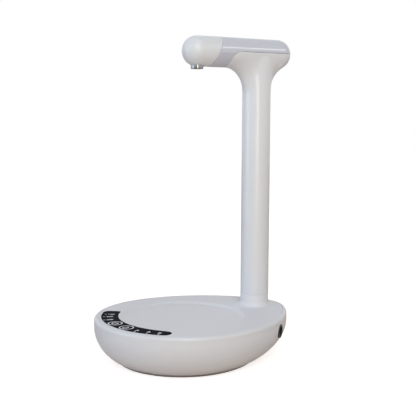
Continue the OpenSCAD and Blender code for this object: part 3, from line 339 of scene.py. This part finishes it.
def moulded_finish(name, dark, light, smooth, rough, grain, depth):
    """Plastic or rubber from a textured mould: the colour runs from dark to light and the roughness from
    smooth to rough with the Tone of the moulded skin, and its Height lifts the surface by depth
    metres."""
    finish, tree, plastic = new_finish(name)
    texture = tree.nodes.new("ShaderNodeGroup")
    texture.node_tree = moulded
    texture.inputs["Grain Scale"].default_value = grain
    tone = texture.outputs["Tone"]
    tree.links.new(colour_between(tree, tone, 0.1, 0.9, dark, light), plastic.inputs["Base Color"])
    tree.links.new(value_between(tree, tone, 0.1, 0.9, smooth, rough), plastic.inputs["Roughness"])
    tree.links.new(lifted(tree, texture.outputs["Height"], depth), plastic.inputs["Normal"])
    return finish


white_shell = moulded_finish(
    "white_shell", (0.735, 0.752, 0.79), (0.747, 0.763, 0.8), 0.285, 0.33, 2600.0, 5e-6
)


def fit(piece, body, slot, finish, *replaced):
    """Gives a finished piece its material and body, and hides the CAD nodes it stands for; the slot is not
    used.
    """
    piece.data.materials.append(finish)
    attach(piece, body)
    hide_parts(*replaced)


fit(base_bowl, "base", "white_shell", white_shell, "base_bowl")


# Hose port: the black flanged socket that the jug's hose plugs into, moulded in nylon, pushed through
# the wall from outside with a seal under its flange and held by a nut inside.
def dress(finish, *names):
    """Puts a material in every slot of CAD nodes that keep their own solids."""
    for name in names:
        for slot in nodes[name].material_slots:
            slot.material = finish


black_nylon = moulded_finish(
    "black_nylon", (0.012, 0.012, 0.013), (0.022, 0.022, 0.024), 0.36, 0.48, 1800.0, 1e-5
)
grey_plastic = moulded_finish(
    "grey_plastic", (0.55, 0.56, 0.58), (0.63, 0.64, 0.66), 0.42, 0.52, 1500.0, 1e-5
)
seal_rubber = moulded_finish(
    "seal_rubber", (0.03, 0.03, 0.03), (0.055, 0.055, 0.055), 0.6, 0.75, 1200.0, 2e-5
)
dress(black_nylon, "hose_port")
dress(grey_plastic, "port_nut")
dress(seal_rubber, "port_seal")

# Motor: a drawn, zinc-plated steel can with two ferrite magnets in it, a nylon end cap and a wound
# armature on the shaft, held down by a plastic strap with two screws.
natural_nylon = moulded_finish(
    "natural_nylon", (0.78, 0.75, 0.67), (0.86, 0.83, 0.75), 0.38, 0.5, 1600.0, 1e-5
)
ferrite = moulded_finish("ferrite", (0.05, 0.05, 0.055), (0.1, 0.1, 0.11), 0.55, 0.7, 900.0, 3e-5)


def plated_finish(name, dark, light, smooth, rough, streak):
    """Metal with fine turned or drawn lines: a noise squeezed along Z gives the streaks that shift the
    colour from dark to light, the roughness from smooth to rough, and the height of the surface."""
    finish, tree, metal = new_finish(name)
    metal.inputs["Metallic"].default_value = 1.0
    where = tree.nodes.new("ShaderNodeTexCoord")
    squeeze = tree.nodes.new("ShaderNodeMapping")
    squeeze.inputs["Scale"].default_value = (1.0, 1.0, streak)
    streaks = tree.nodes.new("ShaderNodeTexNoise")
    streaks.inputs["Scale"].default_value = 400.0
    streaks.inputs["Detail"].default_value = 4.0
    tree.links.new(where.outputs["Object"], squeeze.inputs["Vector"])
    tree.links.new(squeeze.outputs["Vector"], streaks.inputs["Vector"])
    tone = streaks.outputs["Fac"]
    tree.links.new(colour_between(tree, tone, 0.3, 0.7, dark, light), metal.inputs["Base Color"])
    tree.links.new(value_between(tree, tone, 0.0, 1.0, smooth, rough), metal.inputs["Roughness"])
    tree.links.new(lifted(tree, tone, 2e-6), metal.inputs["Normal"])
    return finish


zinc_steel = plated_finish("zinc_steel", (0.5, 0.5, 0.51), (0.62, 0.62, 0.64), 0.29, 0.4, 0.2)
winding = plated_finish("winding", (0.4, 0.16, 0.07), (0.62, 0.3, 0.15), 0.29, 0.4, 6.0)
dress(zinc_steel, "motor_can", "clamp_screws")
dress(natural_nylon, "motor_end_cap")
dress(ferrite, "motor_magnets")
dress(winding, "motor_armature")
dress(grey_plastic, "motor_clamp")

# Gear pump: a plastic housing on the motor's face with two equal nylon gears, one on the motor's shaft
# and one on a fixed steel pin, closed by an end plate with two barbs and four screws.
dress(grey_plastic, "pump_body", "pump_cover")
dress(zinc_steel, "pump_screws", "idler_pin")
dress(natural_nylon, "drive_gear", "idler_gear")


# Water line in the base: two clear silicone hoses pushed on barbs, and the union that the turning
# riser dips into, with a rubber ring for a seal.
def tune(finish, socket, value):
    """Sets a plain value on one socket of a material's main shader."""
    finish.node_tree.nodes["Principled BSDF"].inputs[socket].default_value = value


silicone = moulded_finish("silicone", (0.72, 0.76, 0.77), (0.8, 0.84, 0.85), 0.3, 0.42, 700.0, 1e-5)
tune(silicone, "Transmission Weight", 0.35)
tune(silicone, "IOR", 1.41)
dress(silicone, "suction_hose", "delivery_hose")
dress(grey_plastic, "swivel_union")
dress(seal_rubber, "union_seal")

# Battery and charger: a round cell in a blue sleeve on a plastic cradle, and a small green board
# whose steel charging socket looks out through the left wall. The panel's board is made the same way.
cell_sleeve = moulded_finish("cell_sleeve", (0.07, 0.19, 0.5), (0.11, 0.25, 0.6), 0.29, 0.36, 300.0, 1e-5)
board_green = moulded_finish("board_green", (0.02, 0.14, 0.06), (0.04, 0.21, 0.09), 0.3, 0.45, 500.0, 1.5e-5)
dress(cell_sleeve, "battery_cell")
dress(grey_plastic, "battery_cradle")
dress(board_green, "charging_board", "control_board")
dress(zinc_steel, "charging_socket", "board_screws")

# Touch contacts: discs of dark conductive foam between the board's touch keys and the lid, punched
# from a sheet and stuck on the board.
foam = moulded_finish("foam", (0.06, 0.06, 0.065), (0.12, 0.12, 0.125), 0.8, 0.95, 2400.0, 8e-5)
dress(foam, "touch_pads")

# Top cover: the flat lid with its round cup recess and the collar that the column turns on. The same
# white plastic, dropped into the bowl's rim and held by screws from below.
cup_r, cup_slope, cup_depth, cup_land = 59.6, 4.0, 2.0, 0.6
lid_in, lid_nip, dish_r, dish_z = 3.55, 0.4, 62.6, 37.4


def lid_rows():
    """Rows of the lid as radius, share, inset and height. A row at share 0 is a circle of that radius
    about the cup, a row at share 1 is the egg at that inset, and shares between blend the two. The recess
    wall is a shallow cone whose first and last bit, as wide as ease, are parabolas."""
    ease = 0.06
    near = np.concatenate([np.linspace(0, ease, 6), np.linspace(ease, 0.5, 8)[1:]])
    rise = np.where(near < ease, near ** 2 / (2 * ease), near - ease / 2) / (1 - ease)
    way = np.concatenate([near, 1 - near[-2::-1]])
    step = np.concatenate([rise, 1 - rise[-2::-1]])
    floor = np.array([0.0, 15.0, 30.0, 45.0, 50.0])
    spread = np.linspace(0, 1, 30)[1:]
    edge = np.linspace(0, np.pi / 2, 7)
    cup_z, face_in = base_h - cup_depth, lid_in + lid_nip
    radius = np.concatenate([
        floor,
        cup_r - cup_slope * (1 - way),
        np.full(len(spread) + len(edge) + 1, cup_r + cup_land),
        [dish_r, dish_r, 0.0],
    ])
    share = np.concatenate([np.zeros(len(floor) + len(way)), spread, np.ones(len(edge) + 1), np.zeros(3)])
    inset = np.concatenate([
        np.full(len(floor) + len(way) + len(spread), face_in),
        face_in - lid_nip * np.sin(edge),
        np.full(4, lid_in),
    ])
    height = np.concatenate([
        np.full(len(floor), cup_z),
        cup_z + cup_depth * step,
        np.full(len(spread), base_h),
        base_h - lid_nip * (1 - np.cos(edge)),
        [ledge_z, ledge_z, dish_z, dish_z],
    ])
    return radius, share, inset, height


def lid(turns):
    """Lid surface: each row's circle and egg point for the same angle, blended by the row's share, at its
    height."""
    radius, share, inset, height = (row[:, None] for row in lid_rows())
    circle = radius[..., None] * np.stack([np.cos(turns), np.sin(turns)], -1)[None]
    flat = (1 - share[..., None]) * circle + share[..., None] * egg(turns[None], inset)
    return np.dstack([flat, np.broadcast_to(height, flat.shape[:2])])


def revolve(radius, height, middle, steps):
    """Turned surface: a profile of radius and height carried round an upright axis through middle."""
    turn = np.linspace(0, 2 * np.pi, steps + 1)
    x = middle[0] + radius[:, None] * np.cos(turn)
    y = middle[1] + radius[:, None] * np.sin(turn)
    return np.stack([x, y, np.broadcast_to(height[:, None], x.shape)], -1)


column_y, column_r, seam_z, fillet_r = 85.0, 14.0, 54.0, 5.0
seam_nip, seam_gap, socket_r, collar_low = 0.12, 0.08, 11.9, 41.0
hollow = np.linspace(0, np.pi / 2, 16)
nip = np.linspace(0, np.pi / 2, 5)
collar_r = np.concatenate([
    [column_r + fillet_r],
    column_r + fillet_r * (1 - np.sin(hollow)),
    column_r - seam_nip * (1 - np.cos(nip)),
    [socket_r, socket_r, column_r + fillet_r],
])
collar_z = np.concatenate([
    [collar_low],
    base_h + fillet_r * (1 - np.cos(hollow)),
    seam_z - seam_gap - seam_nip * (1 - np.sin(nip)),
    [seam_z - seam_gap, collar_low, collar_low],
])
top_cover = skin("lid", lid(egg_turns()), revolve(collar_r, collar_z, (0.0, column_y), 160))
lid_white = moulded_finish("lid_white", (0.755, 0.765, 0.8), (0.767, 0.777, 0.81), 0.47, 0.53, 2600.0, 5e-6)
fit(top_cover, "base", "white_shell", lid_white, "top_cover")

# Control panel: a curved window of black plastic, moulded flush and let into the lid, with the keys and
# numbers printed in white on its face.
panel_in, panel_out, panel_half, panel_turn = 61.0, 77.2, math.radians(47.7), math.radians(2.7)
panel_taper, panel_corner_out, panel_corner_left, panel_corner_right = 2.8, 6.5, 2.5, 5.5
panel_low, panel_top = 40.6, 42.2


def panel_inner(angle):
    """Inner radius of the panel at an angle from its middle: level on the left, and from the middle to the
    right end it grows with the square of the way."""
    return panel_in + panel_taper * (np.maximum(angle, 0) / panel_half) ** 2


def panel_edge(inset):
    """Outline of the panel, moved in by inset: an outer arc, two corners, a tapering inner arc and two
    corners, each an arc about the cup's centre or the corner's centre."""
    r_out, r_right, r_left = panel_out - inset, panel_inner(panel_half) + inset, panel_in + inset
    c_out, c_left, c_right = panel_corner_out - inset, panel_corner_left - inset, panel_corner_right - inset
    a_out = panel_half - math.asin(inset / r_out) - math.asin(c_out / (r_out - c_out))
    a_right = panel_half - math.asin(inset / r_right) - math.asin(c_right / (r_right + c_right))
    a_left = panel_half - math.asin(inset / r_left) - math.asin(c_left / (r_left + c_left))
    front = panel_turn - np.pi / 2
    sweep = np.linspace(0, np.pi / 2, 13)
    across = np.linspace(a_right, -a_left, 121)
    arcs = []
    for centre_r, centre_a, radius, angles in (
        (0, 0, r_out, front + np.linspace(-a_out, a_out, 121)),
        (r_out - c_out, front + a_out, c_out, front + a_out + sweep),
        (r_right + c_right, front + a_right, c_right, front + np.pi / 2 + a_right + sweep),
        (0, 0, panel_inner(across) + inset, front + across),
        (r_left + c_left, front - a_left, c_left, front + np.pi - a_left + sweep),
        (r_out - c_out, front - a_out, c_out, front + 1.5 * np.pi - a_out + sweep),
    ):
        arcs.append(np.stack([centre_r * math.cos(centre_a) + radius * np.cos(angles),
                              centre_r * math.sin(centre_a) + radius * np.sin(angles)], -1))
    outline = np.concatenate(arcs)
    return np.concatenate([outline, outline[:1]])


def panel_spine(outline):
    """Middle line of the panel: each outline point's angle, kept clear of the ends, at the middle radius
    there."""
    end_room = 0.13
    angle = np.arctan2(outline[:, 1], outline[:, 0]) + np.pi / 2 - panel_turn
    angle = np.clip(angle, end_room - panel_half, panel_half - end_room)
    middle = (panel_inner(angle) + panel_out) / 2
    return np.stack([middle * np.sin(angle + panel_turn), -middle * np.cos(angle + panel_turn)], -1)


spine = panel_spine(panel_edge(0.0))
panel_rings = [np.column_stack([spine, np.full(len(spine), panel_low)])]
for inset, below in ((0.0, panel_top - panel_low), (0.0, 0.16), (0.05, 0.05), (0.18, 0.0), (0.9, 0.0)):
    outline = panel_edge(inset)
    panel_rings.append(np.column_stack([outline, np.full(len(outline), panel_top - below)]))
panel_rings.append(np.column_stack([spine, np.full(len(spine), panel_top)]))
control_panel = skin("panel_window", np.stack(panel_rings))
black_window = moulded_finish(
    "black_window", (0.004, 0.005, 0.009), (0.006, 0.008, 0.014), 0.3, 0.36, 500.0, 2e-7
)
tune(black_window, "Specular IOR Level", 0.002)
fit(control_panel, "base", "black_panel", black_window, "control_panel")


def ribbon(path, width, closed=False):
    """Flat printed line: the path's points moved half the width to either side along the line's normal."""
    ahead = np.roll(path, -1, 0) if closed else np.vstack([path[1:], path[-1:]])
    behind = np.roll(path, 1, 0) if closed else np.vstack([path[:1], path[:-1]])
    along = ahead - behind
    normal = np.stack([-along[:, 1], along[:, 0]], -1) / np.linalg.norm(along, axis=1)[:, None]
    band = np.stack([path + 0.5 * width * normal, path - 0.5 * width * normal])
    return np.concatenate([band, band[:, :1]], 1) if closed else band


def disc(path):
    """Flat printed spot: the closed path shrunk to its middle."""
    path = np.vstack([path, path[:1]])
    return np.stack([path, np.broadcast_to(path[:-1].mean(0), path.shape)])


def circle_path(radius, start=0.0, end=2 * np.pi, count=49):
    """Points on a circle about the origin, from one angle to another."""
    angle = np.linspace(start, end, count)
    return radius * np.stack([np.cos(angle), np.sin(angle)], -1)


def numeral_sheets(text, height):
    """Faces of a printed number, as small sheets centred on the origin, from the program's own plain
    font."""
    data = bpy.data.curves.new("numeral", "FONT")
    data.body = text
    data.size = 1.0
    data.offset = 0.03
    data.align_x, data.align_y = "CENTER", "CENTER"
    holder = bpy.data.objects.new("numeral", data)
    mesh = bpy.data.meshes.new_from_object(holder)
    mesh.calc_loop_triangles()
    corners = np.array([v.co for v in mesh.vertices])[:, :2]
    tall = np.ptp(corners[:, 1])
    corners = (corners - (corners.max(0) + corners.min(0)) / 2) * (height / tall)
    triangles = np.array([t.vertices for t in mesh.loop_triangles])
    bpy.data.objects.remove(holder)
    bpy.data.curves.remove(data)
    bpy.data.meshes.remove(mesh)
    return [corners[[[a, b], [c, c]]] for a, b, c in triangles]


def turned(flat, angle):
    """Flat points turned about the origin by an angle."""
    return flat @ np.array([[math.cos(angle), math.sin(angle)], [-math.sin(angle), math.cos(angle)]])


def on_panel(flat, angle, radius, turn=0.0):
    """Lays a flat print on the panel: turned by its own angle, moved out to the radius with its foot
    outwards, and swung round the cup by the angle from the panel's middle."""
    flat = turned(turned(flat, turn) - [0.0, radius], angle + panel_turn)
    return np.concatenate([flat, np.full(flat.shape[:-1] + (1,), panel_top + ink_t)], -1)


ink_t = 0.02
power_key, drop_key, key_r = math.radians(-6.2), math.radians(9.4), 69.9
ring_r, ring_w, power_r, bar_low, bar_high = 6.3, 1.1, 2.9, 0.4, 3.6
drop_half, drop_tall, drop_shift, drop_w = 2.5, 3.3, -0.5, 1.0
key_ring = ribbon(circle_path(ring_r, count=73)[:-1], ring_w, True)
power_arc = ribbon(circle_path(power_r, math.radians(125), math.radians(415)), ring_w)
power_bar = ribbon(np.array([[0.0, bar_low], [0.0, bar_high]]), ring_w)
drop_turn = np.linspace(0, 2 * np.pi, 40, endpoint=False)
drop_x = drop_half * np.sin(drop_turn) * np.sin(drop_turn / 2)
drop_y = drop_shift + drop_tall * np.cos(drop_turn)
drop_line = ribbon(np.stack([drop_x, drop_y], -1), drop_w, True)
print_sheets = [on_panel(sheet, power_key, key_r) for sheet in (key_ring, power_arc, power_bar)]
print_sheets += [on_panel(sheet, drop_key, key_r) for sheet in (key_ring, drop_line)]
volume_h, mark_half, mark_w, mark_out = 3.2, 1.0, 0.9, 5.4
volume_mark = ribbon(np.array([[-mark_half, 0.0], [mark_half, 0.0]]), mark_w)
for angle, radius, number in ((-36.2, 67.8, "150"), (-28.5, 69.0, "300"), (-18.7, 70.2, "500")):
    place = math.radians(angle)
    print_sheets += [on_panel(sheet, place, radius, np.pi / 2) for sheet in numeral_sheets(number, volume_h)]
    print_sheets.append(on_panel(volume_mark, place, radius + mark_out, np.pi / 2))
heat_h, heat_out, dot_r, dot_out = 3.0, 71.0, 0.9, 75.2
heat_dot = disc(circle_path(dot_r, count=25)[:-1])
for angle, number in ((21.3, "45"), (30.9, "60"), (39.2, "80")):
    place = math.radians(angle)
    print_sheets += [on_panel(sheet, place, heat_out, -np.pi / 2) for sheet in numeral_sheets(number, heat_h)]
    print_sheets.append(on_panel(heat_dot, place, dot_out))
panel_print = skin("panel_print", *print_sheets)
white_ink = moulded_finish("white_ink", (0.84, 0.86, 0.9), (0.9, 0.92, 0.95), 0.4, 0.5, 3000.0, 1e-6)
panel_print.data.materials.append(white_ink)
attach(panel_print, "base")

# Underside: four screws that hold the lid, hidden by a matte rubber pad that is glued on last and
# keeps the pump from sliding.
pad_rubber = moulded_finish("pad_rubber", (0.24, 0.22, 0.215), (0.3, 0.28, 0.27), 0.65, 0.8, 900.0, 4e-5)
dress(zinc_steel, "base_screws")
dress(pad_rubber, "anti_slip_pad")

# Column: the round riser housing that turns on the collar and flares out into a saddle under the arm.
# One white moulding, with the water pipe, its guides and a lock ring inside.
arm_z, arm_r, tail_len, front_len = 291.5, 14.4, 23.5, 49.0
flare_z, flare_front, flare_back, flare_side = 250.1, 37.0, 30.0, 0.985 * arm_r
pull_in, pull_up = 0.55, 0.6
saddle_y, bend_r = 46.0, 11.0
spigot_r, spigot_low = 11.7, 48.0


def under_arm(x, y):
    """Height of the arm's underside: its axis height less the height of a round section of radius arm_r
    at the distance x off the axis, with round ends behind the tail and in front of the saddle."""
    past = np.maximum(y - column_y - tail_len, 0) + np.minimum(y - column_y + front_len, 0)
    return arm_z - np.sqrt(np.maximum(arm_r ** 2 - x ** 2 - past ** 2, 0))


def arm_reach(turn):
    """Distance from the column's axis to the arm's outline seen from above: the straight side, or the
    round end where the side would lie past it."""
    across, along = np.abs(np.sin(turn)), np.cos(turn)
    side = arm_r / np.maximum(across, 0.001)

    def end(c, length):
        return c * length + np.sqrt(np.maximum((c * length) ** 2 - length ** 2 + arm_r ** 2, 0))

    return np.where(side * along > tail_len, end(along, tail_len),
                    np.where(side * along < -front_len, end(-along, front_len), side))


def in_saddle(y, z):
    """Whether a point of the arm belongs to the saddle: behind its front edge and below the arm's axis, with
    the corner between the two rounded to bend_r."""
    corner = (y - saddle_y - bend_r) ** 2 + (z - arm_z + bend_r) ** 2 <= bend_r ** 2
    beyond = (y >= saddle_y + bend_r) | (z <= arm_z - bend_r)
    return (z <= arm_z + 1e-9) & (y >= saddle_y) & (beyond | corner)


def arm_floor(turn, distance):
    """Height of the arm's underside at a distance from the column's axis, in the direction turn."""
    return under_arm(distance * np.sin(turn), column_y + distance * np.cos(turn))


def saddle_end(turn, start, end):
    """Distance along each direction at which the saddle stops, by halving the range between a distance
    inside it and one at the arm's outline until they meet."""

    def inside(distance):
        return in_saddle(column_y + distance * np.cos(turn), arm_floor(turn, distance))

    low, high = start.copy(), end.copy()
    for halving in range(40):
        middle = (low + high) / 2
        kept = inside(middle)
        low = np.where(kept, middle, low)
        high = np.where(kept, high, middle)
    return np.where(inside(end), end, low)


def column_sheet(turns):
    """Column from its foot to the saddle. The flare is a cubic curve from the column's side to the arm's
    underside, tangent to both, that ends on a flat-sided oval, the fourth powers of across and along
    adding up to one, longer in front than behind; from there the surface follows the arm's underside to
    the parting line, and a lid closes it inside the arm."""
    turn = turns[None]
    length = np.where(np.cos(turn) > 0, flare_back, flare_front)
    touch = ((np.sin(turn) / flare_side) ** 4 + (np.cos(turn) / length) ** 4) ** -0.25
    touch_z = arm_floor(turn, touch)
    nudge = 0.05
    slope = (touch_z - arm_floor(turn, touch - nudge)) / nudge
    pull = pull_in * (touch - column_r)
    t = np.linspace(0, 1, 45)[:, None]
    first, second, third, last = (1 - t) ** 3, 3 * t * (1 - t) ** 2, 3 * t ** 2 * (1 - t), t ** 3
    lift_z, pull_z = flare_z + pull_up * (touch_z - flare_z), touch_z - pull * slope
    flare_d = first * column_r + second * column_r + third * (touch - pull) + last * touch
    flare_h = first * flare_z + second * lift_z + third * pull_z + last * touch_z
    stop = saddle_end(turn, touch, arm_reach(turn))
    way = np.sin(np.linspace(0, np.pi / 2, 30)[1:, None])
    under_d = touch + (stop - touch) * way
    under_h = arm_floor(turn, under_d)
    nip = np.linspace(0, np.pi / 2, 5)
    shaft = np.linspace(seam_z + seam_nip, flare_z, 13)[1:]
    foot_d = np.concatenate([
        [0.0, spigot_r, spigot_r],
        column_r - seam_nip * (1 - np.sin(nip)),
        np.full(len(shaft), column_r),
    ])[:, None]
    foot_h = np.concatenate([
        [spigot_low, spigot_low, seam_z],
        seam_z + seam_nip * (1 - np.cos(nip)),
        shaft,
    ])[:, None]
    distance = np.vstack([np.broadcast_to(foot_d, (len(foot_d), len(turns))), flare_d[1:], under_d])
    height = np.vstack([np.broadcast_to(foot_h, (len(foot_h), len(turns))), flare_h[1:], under_h])
    outside = np.stack([-distance * np.sin(turn), column_y + distance * np.cos(turn), height], -1)
    lid_line = outside[-1:] * [0.0, 1.0, 1.0]
    return np.concatenate([outside, lid_line])


column_shell = skin("column", column_sheet(np.linspace(0, 2 * np.pi, 361)))
column_white = moulded_finish(
    "column_white", (0.767, 0.787, 0.825), (0.779, 0.798, 0.835), 0.225, 0.262, 2600.0, 4e-6
)
tune(column_white, "Specular IOR Level", 0.9)
fit(column_shell, "column", "white_shell", column_white, "column_shell")
dress(grey_plastic, "lock_ring", "riser_guides")
dress(natural_nylon, "riser_pipe")
dress(silicone, "arm_hose")

# Arm cover: the top of the arm, a half shell over the saddle and a full tube in front of it, snapped on
# the saddle. Its lip carries the nose cap, and the gap between them is a quarter of a millimetre.
nose_seam, nose_slant, nose_gap = 32.5, math.tan(math.radians(25)), 0.25
tail_y, bend_y, part_gap = column_y + tail_len, saddle_y + bend_r, 0.15
lip_len, lip_bore, lip_nip = 2.5, 12.2, 0.07
edge_r, edge_run = 0.8, 4.0


def around_arm(angle, radius, y):
    """Point at an angle from the top of the arm, a radius off its axis."""
    return np.stack(np.broadcast_arrays(radius * np.sin(angle), y, arm_z + radius * np.cos(angle)), -1)


def seam_row(angle, radius, shift):
    """Distance along the arm at which its slanted seam, moved back by shift, lies at an angle from the
    top: the seam's middle plus the slant times the height above the axis."""
    return nose_seam + shift + nose_slant * radius * np.cos(angle)


half = math.acos(part_gap / arm_r)
edge_turn = np.linspace(0, np.pi / 2, 7)
edge_back = edge_r / arm_r * (1 - np.sin(edge_turn))
edge_in = edge_r / arm_r * (1 - np.cos(edge_turn))
lip_shift = np.array([-lip_len, nose_gap, nose_gap, nose_gap + lip_nip, 2 * nose_gap])[:, None]
lip_r = np.array([lip_bore, lip_bore, arm_r - nose_gap, arm_r - lip_nip, arm_r])[:, None]
share = np.linspace(0, 1, 26)[1:, None]
flank = half - edge_back[0]
crown = np.linspace(-flank, flank, 109)[1:-1]
over = np.concatenate([edge_back[::-1] - half, crown, half - edge_back])[None]
over_in = np.concatenate([edge_in[::-1], np.zeros(len(crown)), edge_in])[None]
over_lip = seam_row(over, lip_r, lip_shift)
back_run = np.linspace(bend_y, tail_y, 26)[1:]
dome = np.linspace(0, np.pi / 2, 26)[1:]
rear_y = np.concatenate([back_run, tail_y + arm_r * np.sin(dome)])[:, None]
rear_r = np.concatenate([np.full(len(back_run), arm_r), arm_r * np.cos(dome)])[:, None]
rounding = 1 - over_in * np.clip((rear_y - bend_y) / edge_run, 0, 1)
rear_y = np.minimum(rear_y, tail_y) + np.maximum(rear_y - tail_y, 0) * rounding
over_y = np.vstack([over_lip, over_lip[-1:] + share * (bend_y - over_lip[-1:]), rear_y])
over_r = np.vstack([
    np.broadcast_to(lip_r, over_lip.shape),
    np.full((len(share), over.shape[1]), arm_r),
    rounding * rear_r,
])
upper = around_arm(over, over_r, over_y)
under = np.linspace(half, 2 * np.pi - half, 121)[None]
drop_z = arm_r * np.cos(under) + bend_r
bend = bend_r + part_gap
bend_end = bend_y - np.sqrt(np.maximum(bend ** 2 - np.maximum(drop_z, 0) ** 2, 0))
end_y = np.where(drop_z > 0, bend_end, saddle_y - part_gap)
chin_lip = seam_row(under, lip_r, lip_shift)
chin_y = np.vstack([chin_lip, chin_lip[-1:] + share * (end_y - chin_lip[-1:])])
chin_r = np.vstack([lip_r, np.full((len(share), 1), arm_r)])
chin = around_arm(under, chin_r, chin_y)
arm_cover = skin("arm_top", upper, chin)
# Painted shade: the arm cover is the same white plastic as the other covers, but its colour is made much
# darker and lavender-grey. This stands in for the shade on the arm and offsets its stronger gloss.
arm_white_painted_shade = moulded_finish(
    "arm_white_painted_shade", (0.555, 0.58, 0.668), (0.563, 0.588, 0.675), 0.15, 0.18, 2600.0, 4e-6
)
tune(arm_white_painted_shade, "IOR", 1.65)
tune(arm_white_painted_shade, "Specular IOR Level", 1.0)
fit(arm_cover, "column", "white_shell", arm_white_painted_shade, "arm_cover")

# Nose cap: the round front end of the arm, moulded in the same white plastic and pushed on the arm
# cover's lip. The elbow and the seal above the nozzle are inside it.
spout_y, cap_bore = 15.5, 12.4
ball = np.linspace(0, np.pi / 2, 40)
nip = np.linspace(0, np.pi / 2, 5)
nose_turn = np.linspace(0, 2 * np.pi, 161)[None]
nose_end = seam_row(nose_turn, arm_r, -nose_gap)
nose_share = np.linspace(0, 1, 16)[1:, None]
nip_r = np.concatenate([arm_r - nose_gap * (1 - np.cos(nip)), [cap_bore, 0.0]])[:, None]
nip_shift = np.concatenate([nose_gap * (np.sin(nip) - 1), [0.0, 0.0]])[:, None]
ball_y = (spout_y - arm_r * np.cos(ball))[:, None]
nose_y = np.vstack([
    np.broadcast_to(ball_y, (len(ball), nose_turn.shape[1])),
    spout_y + nose_share * (nose_end - spout_y),
    seam_row(nose_turn, nip_r, nip_shift),
])
nose_r = np.vstack([arm_r * np.sin(ball)[:, None], np.full((len(nose_share), 1), arm_r), nip_r])
nose_cap = skin("nose", around_arm(nose_turn, nose_r, nose_y))
nose_white = moulded_finish(
    "nose_white", (0.756, 0.782, 0.812), (0.768, 0.793, 0.822), 0.285, 0.33, 2600.0, 5e-6
)
fit(nose_cap, "column", "white_shell", nose_white, "nose_cap")
dress(grey_plastic, "outlet_elbow")
dress(seal_rubber, "nozzle_seal")

# Spout nozzle: a turned and polished steel tube, bored out wider above its tip. It drops into the nose
# cap from inside, where its flange rests.
nozzle_z, flange_z, flange_top = 274.7, 282.2, 283.8
tip_bore, tip_len, bore_r, tube_r, flange_r = 4.0, 4.0, 4.3, 6.0, 7.2
outer_nip, inner_nip = 0.5, 0.4
bevel = np.linspace(0, np.pi / 2, 6)
nozzle_r = np.concatenate([
    [bore_r, flange_r, flange_r, tube_r],
    tube_r - outer_nip * (1 - np.cos(bevel)),
    tip_bore + inner_nip * (1 - np.sin(bevel)),
    [tip_bore, bore_r, bore_r],
])
nozzle_h = np.concatenate([
    [flange_top, flange_top, flange_z, flange_z],
    nozzle_z + outer_nip * (1 - np.sin(bevel)),
    nozzle_z + inner_nip * (1 - np.cos(bevel)),
    [nozzle_z + tip_len, nozzle_z + tip_len, flange_top],
])
spout_nozzle = skin("nozzle", revolve(nozzle_r, nozzle_h, (0.0, spout_y), 96))
polished_steel = plated_finish("polished_steel", (0.27, 0.275, 0.29), (0.33, 0.335, 0.35), 0.05, 0.1, 0.05)
fit(spout_nozzle, "column", "polished_steel", polished_steel, "spout_nozzle")
